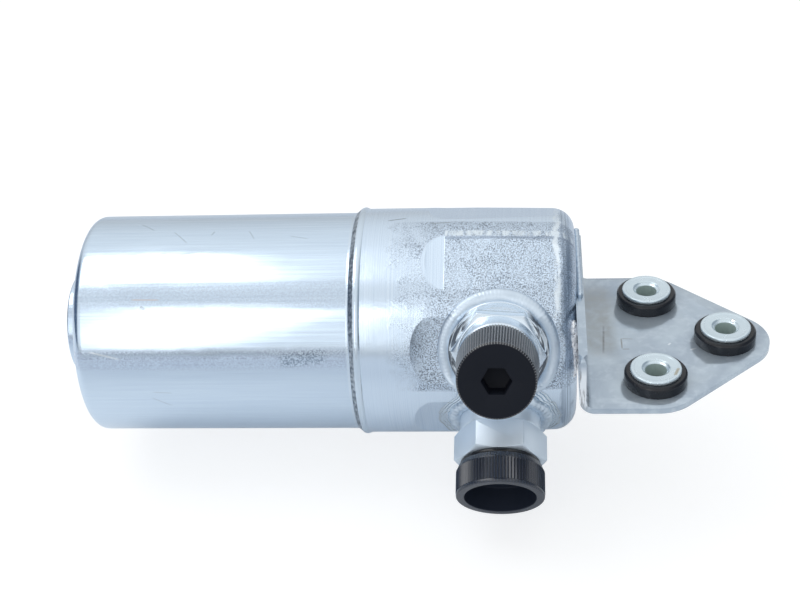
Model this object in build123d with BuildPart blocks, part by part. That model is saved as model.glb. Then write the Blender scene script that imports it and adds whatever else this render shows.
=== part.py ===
from build123d import *
from math import acos, cos, degrees, pi, radians, sin, tan
import os

os.makedirs("parts", exist_ok=True)

# Receiver drier of a vehicle air conditioner, in millimetres
# The origin is on the bore of the bracket's tip bush, at its lower seat.
# +Z leaves the bracket plate, +X runs along the can towards the bracket,
# and -Y is the side of the two hose ports. In the vehicle +X points up.

# Bushes that hold the bracket: sleeve, rubber and washer
sleeve_bore_radius = 4.1
sleeve_wall = 1.2
sleeve_entry_radius = 1.0
washer_radius = 9.85
washer_thickness = 1.5
washer_edge_radius = 0.5
rubber_radius = 12.05
rubber_lip = 4.8
rubber_chamfer = 0.8
rubber_waist_radius = 9.0
bush_clearance = 0.05

# Bracket, folded from sheet
plate_thickness = 2.5
plate_nose_radius = 17.5
bush_pair_distance = 29.2
bush_pair_half_pitch = 27.3
bend_outer_radius = 6.0
flange_height = 25.9
flange_corner_radius = 3.0
can_end_distance = 58.8

# Can, drawn in one piece with a boss in its closed end
can_axis_offset = 20.3
can_axis_drop = 1.1
body_length = 200.0
can_radius = 45.0
can_wall = 2.0
can_corner_radius = 4.4
boss_radius = 20.6
boss_height = 9.0
boss_edge_radius = 3.5
boss_root_radius = 2.5

# Upper shell, which laps over the can and carries the ports
shell_length = 90.0
shell_wall = 5.6
shell_lap_wall = 1.6
shell_lip_radius = 0.2
shell_inner_corner_radius = 5.0
shell_end_thickness = 6.0
shell_taper = 1.1
shell_taper_length = 40.0
shell_taper_blend = 60.0
shell_corner_radius = 9.0
lap_length = 12.0
lap_clearance = 0.05
seam_width = 5.0
seam_height = 0.8
seam_toe = 1.3
seam_shoulder = 1.25
seam_shoulder_drop = 0.2
seam_crest = 3.0

# Flats on the upper shell, by their angle above the horizontal. A disc cutter
# mills them from the shell's end, and leaves the metal in an arc.
back_flat_angle = 110.0
plain_flat_angle = 64.5
plain_flat_depth = 1.65
plain_flat_length = 51.5
port_flat_depth = 2.0
port_flat_length = 56.5
flat_cutter_radius = 19.0

# Ports: where they stand and what they share
port_distance = 30.5
outlet_angle = 19.0
inlet_angle = -26.5
hex_across_flats = 32.0
hex_chamfer_angle = 30.0
hex_outer_radius = 20.0
hex_chamfer_relief = 0.2
fitting_overhang = 3.0
fitting_clearance = 0.05
spigot_radius = 11.0
passage_radius = 7.0
passage_neck = 4.0
weld_penetration = 3.0
weld_cover = 1.0
cut_overshoot = 1.0
thread_clearance = 0.1
knurl_ridges = 88
knurl_depth = 0.45
seal_inset = 0.6

# Outlet fitting, with a male nose
outlet_base_radius = 19.7
outlet_base_height = 1.7
outlet_seat_depth = 1.0
outlet_hex_turn = -4.0
outlet_hex_height = 6.2
outlet_collar_radius = 15.7
outlet_collar_height = 10.0
outlet_collar_chamfer = 0.8
outlet_nose_radius = 13.0
outlet_nose_height = 11.0
outlet_nose_chamfer = 1.0
outlet_seal_thickness = 1.5
outlet_weld_width = 3.7
outlet_weld_height = 1.0
outlet_weld_saddle = 2.0
outlet_weld_crest = 1.5
outlet_weld_root = 0.8
outlet_weld_root_drop = 0.95

# Outlet cap, a drafted cup that screws over the nose
outlet_cap_base_radius = 15.8
outlet_cap_face_radius = 14.8
outlet_cap_height = 20.5
outlet_cap_band = 1.5
outlet_cap_edge_radius = 1.2
cap_socket_across_flats = 10.0
cap_socket_depth = 7.8
cap_end_gap = 0.8

# Inlet fitting, with a threaded bore in a long hexagon
inlet_neck_radius = 16.0
inlet_neck_height = 7.6
inlet_hex_height = 12.8
inlet_thread_radius = 12.1
inlet_thread_depth = 15.0
inlet_thread_entry = 0.8
inlet_weld_width = 4.8
inlet_weld_height = 2.0
inlet_weld_saddle = 3.0
inlet_weld_crest = 1.9
inlet_weld_root_drop = 1.0

# Inlet cap, a hollow plug that screws into the bore
inlet_seal_thickness = 1.8
inlet_cap_root_radius = 16.5
inlet_cap_radius = 17.5
inlet_cap_bevel = 2.4
inlet_cap_knurl_height = 9.1
inlet_cap_band = 1.4
inlet_cap_edge_radius = 0.7
inlet_cap_recess_radius = 14.1
inlet_cap_recess_depth = 10.2
inlet_plug_length = 11.0
inlet_plug_core_radius = 8.5
inlet_plug_floor = 2.5

# Bracket welds on the can's end
bracket_weld_size = 3.0
bracket_weld_bulge = 1.86
bracket_weld_half_length = 24.6
bracket_weld_end_radius = 1.0
front_weld_inset = 9.6
front_weld_radius = 3.0
front_weld_depth = 3.4

# Pieces inside: dip tube, strainer and drying cartridge
tube_radius = 5.0
tube_wall = 1.0
tube_bend_radius = 18.0
tube_socket_depth = 4.0
tube_clearance = 0.1
plate_sheet = 1.5
plate_hole_radius = 4.0
plate_inner_ring_radius = 17.0
plate_inner_ring_holes = 6
plate_outer_ring_radius = 31.0
plate_outer_ring_holes = 12
pad_thickness = 4.0
bed_length = 80.0
cartridge_clearance = 0.3
spring_radius = 29.0
spring_wire_width = 3.0
spring_wire_height = 2.0
spring_turns = 3.5
strainer_radius = 9.0
strainer_overlap = 5.0
strainer_length = 16.0
strainer_wall = 1.2
strainer_window_width = 5.0
strainer_window_height = 9.0
strainer_windows = 6
strainer_mesh_thickness = 0.4

# Levels and places that follow from the sizes above
plate_bottom = washer_thickness + rubber_lip
plate_top = plate_bottom + plate_thickness
rubber_top = plate_top + rubber_lip
bush_top = rubber_top + washer_thickness
sleeve_radius = sleeve_bore_radius + sleeve_wall
bush_places = {
    "tip": (0, 0),
    "front": (-bush_pair_distance, -bush_pair_half_pitch),
    "rear": (-bush_pair_distance, bush_pair_half_pitch),
}
bracket_half_width = bush_pair_half_pitch + plate_nose_radius
flange_top = plate_bottom + flange_height

can_axis_y = can_axis_offset
can_axis_z = plate_bottom - can_axis_drop
shell_radius = can_radius + shell_lap_wall
shell_inner_radius = shell_radius - shell_wall
plain_flat_distance = shell_radius - plain_flat_depth
port_flat_distance = shell_radius - port_flat_depth
fitting_inner_reach = shell_inner_radius - fitting_overhang
front_weld_y = can_axis_y - shell_radius + front_weld_inset
shell_end_x = -can_end_distance
closed_end_x = shell_end_x - body_length
seam_x = shell_end_x - shell_length
shell_lip_x = seam_x + seam_toe
can_mouth_x = seam_x + lap_length
shell_step_x = can_mouth_x + plate_sheet
shell_inner_end_x = shell_end_x - shell_end_thickness
port_x = shell_end_x - port_distance
bed_radius = can_radius - can_wall - cartridge_clearance
strainer_top_x = closed_end_x - boss_height + can_wall + strainer_length
tube_end_x = strainer_top_x - strainer_overlap

can_centre = Vector(0, can_axis_y, can_axis_z)
can_axis = Axis(can_centre, (1, 0, 0))
can_section = Plane(origin=can_centre, x_dir=(1, 0, 0), z_dir=(0, -1, 0))
port_centre = Vector(port_x, can_axis_y, can_axis_z)

outlet_seat = port_flat_distance - outlet_seat_depth
outlet_base_top = outlet_seat + outlet_base_height
outlet_hex_top = outlet_base_top + outlet_hex_height
outlet_collar_top = outlet_hex_top + outlet_collar_height
outlet_nose_top = outlet_collar_top + outlet_nose_height
outlet_cap_base = outlet_collar_top + outlet_seal_thickness
outlet_cap_face = outlet_cap_base + outlet_cap_height
inlet_hex_bottom = port_flat_distance + inlet_neck_height
inlet_hex_top = inlet_hex_bottom + inlet_hex_height
inlet_cap_base = inlet_hex_top + inlet_seal_thickness
inlet_knurl_base = inlet_cap_base + inlet_cap_bevel
inlet_band_base = inlet_knurl_base + inlet_cap_knurl_height
inlet_cap_face = inlet_band_base + inlet_cap_band


def port_direction(angle):
    """The way out of a port that stands at an angle above the horizontal."""
    return Vector(0, -cos(radians(angle)), sin(radians(angle)))


def port_plane(angle, distance):
    """The plane across a port's axis, at a distance from the can's axis."""
    outward = port_direction(angle)
    return Plane(port_centre + outward * distance, x_dir=(1, 0, 0), z_dir=outward)


def port_section(angle):
    """The plane through a port's axis: x is the radius, y the distance."""
    across = Vector(1, 0, 0).cross(port_direction(angle))
    return Plane(port_centre, x_dir=(1, 0, 0), z_dir=across)


def port_axis(angle):
    return Axis(port_centre, port_direction(angle))


def ridge_ring(tip_radius):
    """Corners of a fine straight knurl, as a star with a point for each ridge."""
    corners = []
    for step in range(2 * knurl_ridges):
        turn = pi * step / knurl_ridges
        radius = tip_radius - knurl_depth * (step % 2)
        corners.append((radius * cos(turn), radius * sin(turn)))
    return corners


# Lower can: a deep drawn cup, its boss pressed out of the closed end
with BuildPart() as lower_can:
    with BuildSketch(can_section):
        with BuildLine():
            outline = FilletPolyline(
                (can_mouth_x, can_radius),
                (closed_end_x, can_radius),
                (closed_end_x, boss_radius),
                (closed_end_x - boss_height, boss_radius),
                (closed_end_x - boss_height, 0),
                radius=(can_corner_radius, boss_root_radius, boss_edge_radius),
            )
            Polyline(outline @ 1, (can_mouth_x, 0), outline @ 0)
        make_face()
    revolve(axis=can_axis)
    mouth = lower_can.faces().sort_by(Axis.X)[-1]
    offset(amount=-can_wall, openings=mouth)
lower_can.part.label = "lower_can"
export_step(lower_can.part, "parts/lower_can.step")

# Upper shell: turned outside and in, lapped over the can's mouth
with BuildPart() as upper_shell:
    lap_radius = can_radius + lap_clearance
    with BuildSketch(can_section):
        with BuildLine():
            outline = FilletPolyline(
                (shell_lip_x, lap_radius),
                (shell_lip_x + shell_lap_wall, shell_radius),
                (shell_end_x - shell_taper_length, shell_radius),
                (shell_end_x, shell_radius - shell_taper),
                (shell_end_x, 0),
                radius=(shell_lip_radius, shell_taper_blend, shell_corner_radius),
            )
            Polyline(outline @ 1, (shell_lip_x, 0), outline @ 0)
        make_face()
    revolve(axis=can_axis)
    # Bore, with a counterbore for the can and the top plate
    with BuildSketch(can_section):
        with BuildLine():
            Polyline(
                (shell_lip_x, 0),
                (shell_lip_x, lap_radius),
                (shell_step_x, lap_radius),
                (shell_step_x, shell_inner_radius),
            )
            bore = FilletPolyline(
                (shell_step_x, shell_inner_radius),
                (shell_inner_end_x, shell_inner_radius),
                (shell_inner_end_x, 0),
                radius=shell_inner_corner_radius,
            )
            Line(bore @ 1, (shell_lip_x, 0))
        make_face()
    revolve(axis=can_axis, mode=Mode.SUBTRACT)
    # Milled flats, each with the arc that its cutter leaves towards the can
    for angle, distance, length in (
        (back_flat_angle, plain_flat_distance, plain_flat_length),
        (plain_flat_angle, plain_flat_distance, plain_flat_length),
        (outlet_angle, port_flat_distance, port_flat_length),
        (inlet_angle, port_flat_distance, port_flat_length),
    ):
        flat_end = port_distance - length
        rise = shell_radius + cut_overshoot - distance
        with BuildSketch(port_section(angle)):
            with BuildLine():
                runout = CenterArc(
                    (flat_end, distance + flat_cutter_radius),
                    flat_cutter_radius,
                    -90,
                    -degrees(acos(1 - rise / flat_cutter_radius)),
                )
                Polyline(
                    runout @ 1,
                    (port_distance + cut_overshoot, distance + rise),
                    (port_distance + cut_overshoot, distance),
                    runout @ 0,
                )
            make_face()
        extrude(amount=shell_radius, both=True, mode=Mode.SUBTRACT)
    # Holes for the two fittings
    for angle in (outlet_angle, inlet_angle):
        with BuildSketch(port_plane(angle, 0)):
            Circle(spigot_radius + fitting_clearance)
        extrude(amount=shell_radius + cut_overshoot, mode=Mode.SUBTRACT)
    # Counterbore that seats the outlet fitting's base
    with BuildSketch(port_plane(outlet_angle, outlet_seat)):
        Circle(outlet_base_radius)
    extrude(amount=shell_radius + cut_overshoot - outlet_seat, mode=Mode.SUBTRACT)
upper_shell.part.label = "upper_shell"
export_step(upper_shell.part, "parts/upper_shell.step")

# Seam weld: a flat bead that closes the lap, on the can and over the lip
with BuildPart() as seam_weld:
    bead_radius = shell_radius + seam_height
    with BuildSketch(can_section):
        with BuildLine():
            lap = Polyline(
                (seam_x, can_radius),
                (shell_lip_x, can_radius),
                (shell_lip_x, lap_radius),
                (shell_lip_x + shell_lap_wall, shell_radius),
                (seam_x + seam_width, shell_radius),
            )
            crown = ThreePointArc(
                lap @ 1,
                (seam_x + seam_crest, bead_radius),
                (seam_x + seam_shoulder, bead_radius - seam_shoulder_drop),
            )
            Line(crown @ 1, lap @ 0)
        make_face()
    revolve(axis=can_axis)
seam_weld.part.label = "seam_weld"
export_step(seam_weld.part, "parts/seam_weld.step")


def hex_chamfer_depth(radius):
    """How far a hexagon's corner chamfer reaches down at a radius."""
    return (radius - hex_across_flats / 2 + hex_chamfer_relief) * tan(radians(hex_chamfer_angle))


# Outlet fitting: round base, milled hexagon, turned collar and male nose
with BuildPart() as outlet_fitting:
    with BuildSketch(port_section(outlet_angle)):
        with BuildLine():
            Polyline(
                (0, fitting_inner_reach),
                (spigot_radius, fitting_inner_reach),
                (spigot_radius, outlet_seat),
                (outlet_base_radius, outlet_seat),
                (outlet_base_radius, outlet_base_top),
                (outlet_collar_radius, outlet_base_top),
                (outlet_collar_radius, outlet_collar_top - outlet_collar_chamfer),
                (outlet_collar_radius - outlet_collar_chamfer, outlet_collar_top),
                (outlet_nose_radius, outlet_collar_top),
                (outlet_nose_radius, outlet_nose_top - outlet_nose_chamfer),
                (outlet_nose_radius - outlet_nose_chamfer, outlet_nose_top),
                (0, outlet_nose_top),
                close=True,
            )
        make_face()
    revolve(axis=port_axis(outlet_angle))
    with BuildSketch(port_plane(outlet_angle, outlet_base_top)):
        RegularPolygon(
            hex_across_flats / 2,
            side_count=6,
            major_radius=False,
            rotation=outlet_hex_turn,
        )
    extrude(amount=outlet_hex_height)
    with BuildSketch(port_section(outlet_angle)):
        with BuildLine():
            Polyline(
                (hex_across_flats / 2 - hex_chamfer_relief, outlet_hex_top),
                (hex_outer_radius, outlet_hex_top),
                (hex_outer_radius, outlet_hex_top - hex_chamfer_depth(hex_outer_radius)),
                close=True,
            )
        make_face()
    revolve(axis=port_axis(outlet_angle), mode=Mode.SUBTRACT)
    # Passage through the fitting, and the socket that the dip tube enters
    with BuildSketch(port_plane(outlet_angle, fitting_inner_reach)):
        Circle(tube_radius + tube_clearance)
    extrude(amount=tube_socket_depth, mode=Mode.SUBTRACT)
    with BuildSketch(port_plane(outlet_angle, fitting_inner_reach)):
        Circle(tube_radius - tube_wall)
    extrude(amount=tube_socket_depth + passage_neck, mode=Mode.SUBTRACT)
    with BuildSketch(port_plane(outlet_angle, outlet_nose_top)):
        Circle(passage_radius)
    extrude(
        amount=fitting_inner_reach + tube_socket_depth + passage_neck - outlet_nose_top,
        mode=Mode.SUBTRACT,
    )
outlet_fitting.part.label = "outlet_fitting"
export_step(outlet_fitting.part, "parts/outlet_fitting.step")

# Inlet fitting: round neck, long hexagon and a threaded bore
with BuildPart() as inlet_fitting:
    with BuildSketch(port_plane(inlet_angle, fitting_inner_reach)):
        Circle(spigot_radius)
    extrude(amount=port_flat_distance - fitting_inner_reach)
    with BuildSketch(port_plane(inlet_angle, port_flat_distance)):
        Circle(inlet_neck_radius)
    extrude(amount=inlet_hex_bottom - port_flat_distance)
    with BuildSketch(port_plane(inlet_angle, inlet_hex_bottom)):
        RegularPolygon(hex_across_flats / 2, side_count=6, major_radius=False)
    extrude(amount=inlet_hex_height)
    with BuildSketch(port_section(inlet_angle)):
        for level, way in ((inlet_hex_bottom, 1), (inlet_hex_top, -1)):
            with BuildLine():
                Polyline(
                    (hex_across_flats / 2 - hex_chamfer_relief, level),
                    (hex_outer_radius, level),
                    (hex_outer_radius, level + way * hex_chamfer_depth(hex_outer_radius)),
                    close=True,
                )
            make_face()
    revolve(axis=port_axis(inlet_angle), mode=Mode.SUBTRACT)
    with BuildSketch(port_plane(inlet_angle, inlet_hex_top)):
        Circle(inlet_thread_radius)
    extrude(amount=-inlet_thread_depth, mode=Mode.SUBTRACT)
    with BuildSketch(port_plane(inlet_angle, inlet_hex_top)):
        Circle(passage_radius)
    extrude(amount=fitting_inner_reach - inlet_hex_top, mode=Mode.SUBTRACT)
    top_circles = inlet_fitting.edges().filter_by(GeomType.CIRCLE).group_by(port_axis(inlet_angle))[-1]
    chamfer(top_circles.sort_by(SortBy.RADIUS)[0], inlet_thread_entry)
inlet_fitting.part.label = "inlet_fitting"
export_step(inlet_fitting.part, "parts/inlet_fitting.step")

# Weld beads round the fittings: each fills the gap under its fitting's edge and
# follows the saddle between the port and the shell. The two run into each other.
with BuildPart() as outlet_weld:
    crest = port_flat_distance + outlet_weld_height
    toe_radius = outlet_base_radius + outlet_weld_width
    with BuildSketch(port_section(outlet_angle)):
        with BuildLine():
            bead = ThreePointArc(
                (outlet_base_radius - outlet_weld_root, crest - outlet_weld_root_drop),
                (outlet_base_radius + outlet_weld_crest, crest),
                (toe_radius, crest - outlet_weld_height),
            )
            Polyline(
                bead @ 1,
                (toe_radius, fitting_inner_reach),
                (outlet_base_radius - outlet_weld_root, fitting_inner_reach),
                bead @ 0,
            )
        make_face()
    revolve(axis=port_axis(outlet_angle))
    with BuildSketch(can_section):
        with Locations((port_x, shell_inner_radius + weld_cover)):
            Rectangle(
                4 * toe_radius,
                shell_radius + outlet_weld_saddle - shell_inner_radius - weld_cover,
                align=(Align.CENTER, Align.MIN),
            )
    revolve(axis=can_axis, mode=Mode.INTERSECT)
    # The gap under the inlet fitting's edge is left to that fitting's own bead
    with BuildSketch(port_plane(inlet_angle, fitting_inner_reach)):
        Circle(inlet_neck_radius)
    extrude(amount=2 * toe_radius, mode=Mode.SUBTRACT)
    add(upper_shell.part, mode=Mode.SUBTRACT)
    add(outlet_fitting.part, mode=Mode.SUBTRACT)
    add(inlet_fitting.part, mode=Mode.SUBTRACT)
    # What the cuts leave besides the bead itself is a crumb
    for crumb in outlet_weld.solids().sort_by(SortBy.VOLUME)[:-1]:
        add(crumb, mode=Mode.SUBTRACT)
outlet_weld.part.label = "outlet_weld"
export_step(outlet_weld.part, "parts/outlet_weld.step")

with BuildPart() as inlet_weld:
    crest = port_flat_distance + inlet_weld_height
    toe_radius = inlet_neck_radius + inlet_weld_width
    with BuildSketch(port_section(inlet_angle)):
        with BuildLine():
            bead = ThreePointArc(
                (inlet_neck_radius - weld_penetration, crest - inlet_weld_root_drop),
                (inlet_neck_radius + inlet_weld_crest, crest),
                (toe_radius, crest - inlet_weld_height),
            )
            Polyline(
                bead @ 1,
                (toe_radius, fitting_inner_reach),
                (inlet_neck_radius - weld_penetration, fitting_inner_reach),
                bead @ 0,
            )
        make_face()
    revolve(axis=port_axis(inlet_angle))
    with BuildSketch(can_section):
        with Locations((port_x, shell_inner_radius + weld_cover)):
            Rectangle(
                4 * toe_radius,
                shell_radius + inlet_weld_saddle - shell_inner_radius - weld_cover,
                align=(Align.CENTER, Align.MIN),
            )
    revolve(axis=can_axis, mode=Mode.INTERSECT)
    add(upper_shell.part, mode=Mode.SUBTRACT)
    add(outlet_fitting.part, mode=Mode.SUBTRACT)
    add(inlet_fitting.part, mode=Mode.SUBTRACT)
    add(outlet_weld.part, mode=Mode.SUBTRACT)
    # What the cuts leave besides the bead itself is a crumb
    for crumb in inlet_weld.solids().sort_by(SortBy.VOLUME)[:-1]:
        add(crumb, mode=Mode.SUBTRACT)
inlet_weld.part.label = "inlet_weld"
export_step(inlet_weld.part, "parts/inlet_weld.step")

# Outlet seal: a flat ring on the collar, round the nose
with BuildPart() as outlet_seal:
    with BuildSketch(port_plane(outlet_angle, outlet_collar_top)):
        Circle(outlet_collar_radius - seal_inset)
        Circle(outlet_nose_radius + thread_clearance, mode=Mode.SUBTRACT)
    extrude(amount=outlet_seal_thickness)
outlet_seal.part.label = "outlet_seal"
export_step(outlet_seal.part, "parts/outlet_seal.step")

# Outlet cap: a drafted, knurled cup with a hexagon socket in its face
with BuildPart() as outlet_cap:
    knurl_height = outlet_cap_height - outlet_cap_band
    draft = (outlet_cap_base_radius - outlet_cap_face_radius) / outlet_cap_height
    band_radius = outlet_cap_face_radius + draft * outlet_cap_band
    with BuildSketch(port_plane(outlet_angle, outlet_cap_base)):
        Polygon(*ridge_ring(outlet_cap_base_radius), align=None)
    with BuildSketch(port_plane(outlet_angle, outlet_cap_base + knurl_height)):
        Polygon(*ridge_ring(band_radius), align=None)
    loft(ruled=True)
    with BuildSketch(port_section(outlet_angle)):
        with BuildLine():
            side = Line(
                (band_radius, outlet_cap_base + knurl_height),
                (band_radius, outlet_cap_face - outlet_cap_edge_radius),
            )
            rounded = CenterArc(
                (band_radius - outlet_cap_edge_radius, outlet_cap_face - outlet_cap_edge_radius),
                outlet_cap_edge_radius,
                0,
                90,
            )
            Polyline(
                rounded @ 1,
                (0, outlet_cap_face),
                (0, outlet_cap_base + knurl_height),
                side @ 0,
            )
        make_face()
    revolve(axis=port_axis(outlet_angle))
    # Bore over the nose, socket in the face
    with BuildSketch(port_plane(outlet_angle, outlet_cap_base)):
        Circle(outlet_nose_radius + thread_clearance)
    extrude(amount=outlet_nose_top - outlet_cap_base + cap_end_gap, mode=Mode.SUBTRACT)
    with BuildSketch(port_plane(outlet_angle, outlet_cap_face)):
        RegularPolygon(cap_socket_across_flats / 2, side_count=6, major_radius=False)
    extrude(amount=-cap_socket_depth, mode=Mode.SUBTRACT)
outlet_cap.part.label = "outlet_cap"
export_step(outlet_cap.part, "parts/outlet_cap.step")

# Inlet seal: a flat ring under the head of the plug
with BuildPart() as inlet_seal:
    with BuildSketch(port_plane(inlet_angle, inlet_hex_top)):
        Circle(inlet_cap_root_radius - seal_inset)
        Circle(inlet_thread_radius, mode=Mode.SUBTRACT)
    extrude(amount=inlet_seal_thickness)
inlet_seal.part.label = "inlet_seal"
export_step(inlet_seal.part, "parts/inlet_seal.step")

# Inlet cap: a knurled head with a wide recess, on a hollow threaded plug
with BuildPart() as inlet_cap:
    plug_radius = inlet_thread_radius - thread_clearance
    plug_end = inlet_hex_top - inlet_plug_length
    recess_floor = inlet_cap_face - inlet_cap_recess_depth
    with BuildSketch(port_section(inlet_angle)):
        with BuildLine():
            Polyline(
                (0, plug_end),
                (plug_radius - inlet_thread_entry, plug_end),
                (plug_radius, plug_end + inlet_thread_entry),
                (plug_radius, inlet_cap_base),
                (inlet_cap_root_radius, inlet_cap_base),
                (inlet_cap_radius - knurl_depth, inlet_knurl_base),
                (inlet_cap_radius - knurl_depth, inlet_band_base),
                (inlet_cap_radius, inlet_band_base),
                (inlet_cap_radius, inlet_cap_face - inlet_cap_edge_radius),
                (inlet_cap_radius - inlet_cap_edge_radius, inlet_cap_face),
                (0, inlet_cap_face),
                close=True,
            )
        make_face()
    revolve(axis=port_axis(inlet_angle))
    with BuildSketch(port_plane(inlet_angle, inlet_knurl_base)):
        Polygon(*ridge_ring(inlet_cap_radius), align=None)
    extrude(amount=inlet_cap_knurl_height)
    with BuildSketch(port_plane(inlet_angle, inlet_cap_face)):
        Circle(inlet_cap_recess_radius)
    extrude(amount=-inlet_cap_recess_depth, mode=Mode.SUBTRACT)
    with BuildSketch(port_plane(inlet_angle, recess_floor)):
        Circle(inlet_plug_core_radius)
    extrude(amount=plug_end + inlet_plug_floor - recess_floor, mode=Mode.SUBTRACT)
inlet_cap.part.label = "inlet_cap"
export_step(inlet_cap.part, "parts/inlet_cap.step")

# Bracket: a rounded triangle of sheet, folded up against the can's end
with BuildPart() as bracket:
    with BuildSketch(Plane.XZ.offset(-bracket_half_width)):
        with BuildLine():
            under = FilletPolyline(
                (plate_nose_radius, plate_bottom),
                (shell_end_x, plate_bottom),
                (shell_end_x, flange_top),
                radius=bend_outer_radius,
            )
            over = FilletPolyline(
                (shell_end_x + plate_thickness, flange_top),
                (shell_end_x + plate_thickness, plate_top),
                (plate_nose_radius, plate_top),
                radius=bend_outer_radius - plate_thickness,
            )
            Line(under @ 1, over @ 0)
            Line(over @ 1, under @ 0)
        make_face()
    extrude(amount=2 * bracket_half_width)
    with BuildSketch(Plane.XY):
        with Locations(*bush_places.values()):
            Circle(plate_nose_radius)
        make_hull()
        with Locations((shell_end_x, 0)):
            Rectangle(
                can_end_distance - bush_pair_distance,
                2 * bracket_half_width,
                align=(Align.MIN, Align.CENTER),
            )
    extrude(amount=flange_top, mode=Mode.INTERSECT)
    corners = bracket.edges().filter_by(Axis.X).group_by(Axis.Z)[-1]
    fillet(corners, flange_corner_radius)
    with BuildSketch(Plane.XY.offset(plate_bottom)):
        with Locations(*bush_places.values()):
            Circle(rubber_waist_radius + bush_clearance)
    extrude(amount=plate_thickness, mode=Mode.SUBTRACT)
bracket.part.label = "bracket"
export_step(bracket.part, "parts/bracket.step")

# Weld along the flange's top edge, as long as it lies on the flat of the end
with BuildPart() as bracket_weld_top:
    with BuildSketch(Plane.XZ.offset(-can_axis_y - bracket_weld_half_length)):
        with BuildLine():
            Polyline(
                (shell_end_x + plate_thickness, flange_top),
                (shell_end_x, flange_top),
                (shell_end_x, flange_top + bracket_weld_size),
            )
            ThreePointArc(
                (shell_end_x, flange_top + bracket_weld_size),
                (shell_end_x + bracket_weld_bulge, flange_top + bracket_weld_bulge),
                (shell_end_x + plate_thickness, flange_top),
            )
        make_face()
    extrude(amount=2 * bracket_weld_half_length)
    ends = bracket_weld_top.faces().filter_by(Axis.Y)
    fillet(ends.edges().filter_by(GeomType.CIRCLE), bracket_weld_end_radius)
bracket_weld_top.part.label = "bracket_weld_top"
export_step(bracket_weld_top.part, "parts/bracket_weld_top.step")

# Weld in the groove between the flange and the can's rounded shoulder
with BuildPart() as bracket_weld_front:
    with BuildSketch(Plane.XY.offset(plate_bottom + bend_outer_radius)):
        with Locations((shell_end_x, front_weld_y)):
            Ellipse(front_weld_depth, front_weld_radius)
    extrude(amount=flange_height - bend_outer_radius - flange_corner_radius)
    add(upper_shell.part, mode=Mode.SUBTRACT)
    with BuildSketch(Plane.XY.offset(plate_bottom)):
        with Locations((shell_end_x, front_weld_y)):
            Rectangle(2 * front_weld_depth, 4 * front_weld_radius, align=(Align.MIN, Align.CENTER))
    extrude(amount=flange_height, mode=Mode.SUBTRACT)
bracket_weld_front.part.label = "bracket_weld_front"
export_step(bracket_weld_front.part, "parts/bracket_weld_front.step")

# Bushes: a washer, a grommet through the plate and a flanged sleeve
for place, (bush_x, bush_y) in bush_places.items():
    bush_section = Plane(origin=(bush_x, bush_y, 0), x_dir=(1, 0, 0), z_dir=(0, -1, 0))
    bush_axis = Axis((bush_x, bush_y, 0), (0, 0, 1))
    collar_radius = sleeve_radius + bush_clearance

    with BuildPart() as bush_washer:
        with BuildSketch(bush_section):
            with Locations(((collar_radius + washer_radius) / 2, washer_thickness / 2)):
                Rectangle(washer_radius - collar_radius, washer_thickness)
        revolve(axis=bush_axis)
        rim = bush_washer.edges().filter_by(GeomType.CIRCLE).group_by(SortBy.RADIUS)[-1]
        chamfer(rim, washer_edge_radius)
    bush_washer.part.label = "bush_washer_" + place
    export_step(bush_washer.part, "parts/bush_washer_" + place + ".step")

    with BuildPart() as bush_rubber:
        with BuildSketch(bush_section):
            with BuildLine():
                Polyline(
                    (collar_radius, washer_thickness),
                    (rubber_radius - rubber_chamfer, washer_thickness),
                    (rubber_radius, washer_thickness + rubber_chamfer),
                    (rubber_radius, plate_bottom),
                    (rubber_waist_radius, plate_bottom),
                    (rubber_waist_radius, plate_top),
                    (rubber_radius, plate_top),
                    (rubber_radius, rubber_top - rubber_chamfer),
                    (rubber_radius - rubber_chamfer, rubber_top),
                    (collar_radius, rubber_top),
                    close=True,
                )
            make_face()
        revolve(axis=bush_axis)
    bush_rubber.part.label = "bush_rubber_" + place
    export_step(bush_rubber.part, "parts/bush_rubber_" + place + ".step")

    with BuildPart() as bush_sleeve:
        with BuildSketch(bush_section):
            with BuildLine():
                Polyline(
                    (sleeve_bore_radius, bush_top - sleeve_entry_radius),
                    (sleeve_bore_radius, 0),
                    (sleeve_radius, 0),
                    (sleeve_radius, rubber_top),
                    (washer_radius, rubber_top),
                    (washer_radius, bush_top - washer_edge_radius),
                )
                RadiusArc(
                    (washer_radius, bush_top - washer_edge_radius),
                    (washer_radius - washer_edge_radius, bush_top),
                    -washer_edge_radius,
                )
                Line(
                    (washer_radius - washer_edge_radius, bush_top),
                    (sleeve_bore_radius + sleeve_entry_radius, bush_top),
                )
                RadiusArc(
                    (sleeve_bore_radius + sleeve_entry_radius, bush_top),
                    (sleeve_bore_radius, bush_top - sleeve_entry_radius),
                    -sleeve_entry_radius,
                )
            make_face()
        revolve(axis=bush_axis)
    bush_sleeve.part.label = "bush_sleeve_" + place
    export_step(bush_sleeve.part, "parts/bush_sleeve_" + place + ".step")

# Dip tube: from the outlet's socket to the can's axis, then down to the bottom
with BuildPart() as dip_tube:
    inward = port_direction(outlet_angle)
    with BuildLine() as tube_path:
        FilletPolyline(
            port_centre + inward * (fitting_inner_reach + tube_socket_depth),
            port_centre,
            Vector(tube_end_x, can_axis_y, can_axis_z),
            radius=tube_bend_radius,
        )
    with BuildSketch(Plane(tube_path.line @ 0, z_dir=tube_path.line % 0)):
        Circle(tube_radius)
        Circle(tube_radius - tube_wall, mode=Mode.SUBTRACT)
    sweep()
dip_tube.part.label = "dip_tube"
export_step(dip_tube.part, "parts/dip_tube.step")


def cross_can_plane(place):
    """The plane across the can at a place, facing the closed end."""
    return Plane(origin=(place, can_axis_y, can_axis_z), x_dir=(0, 1, 0), z_dir=(-1, 0, 0))


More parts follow.
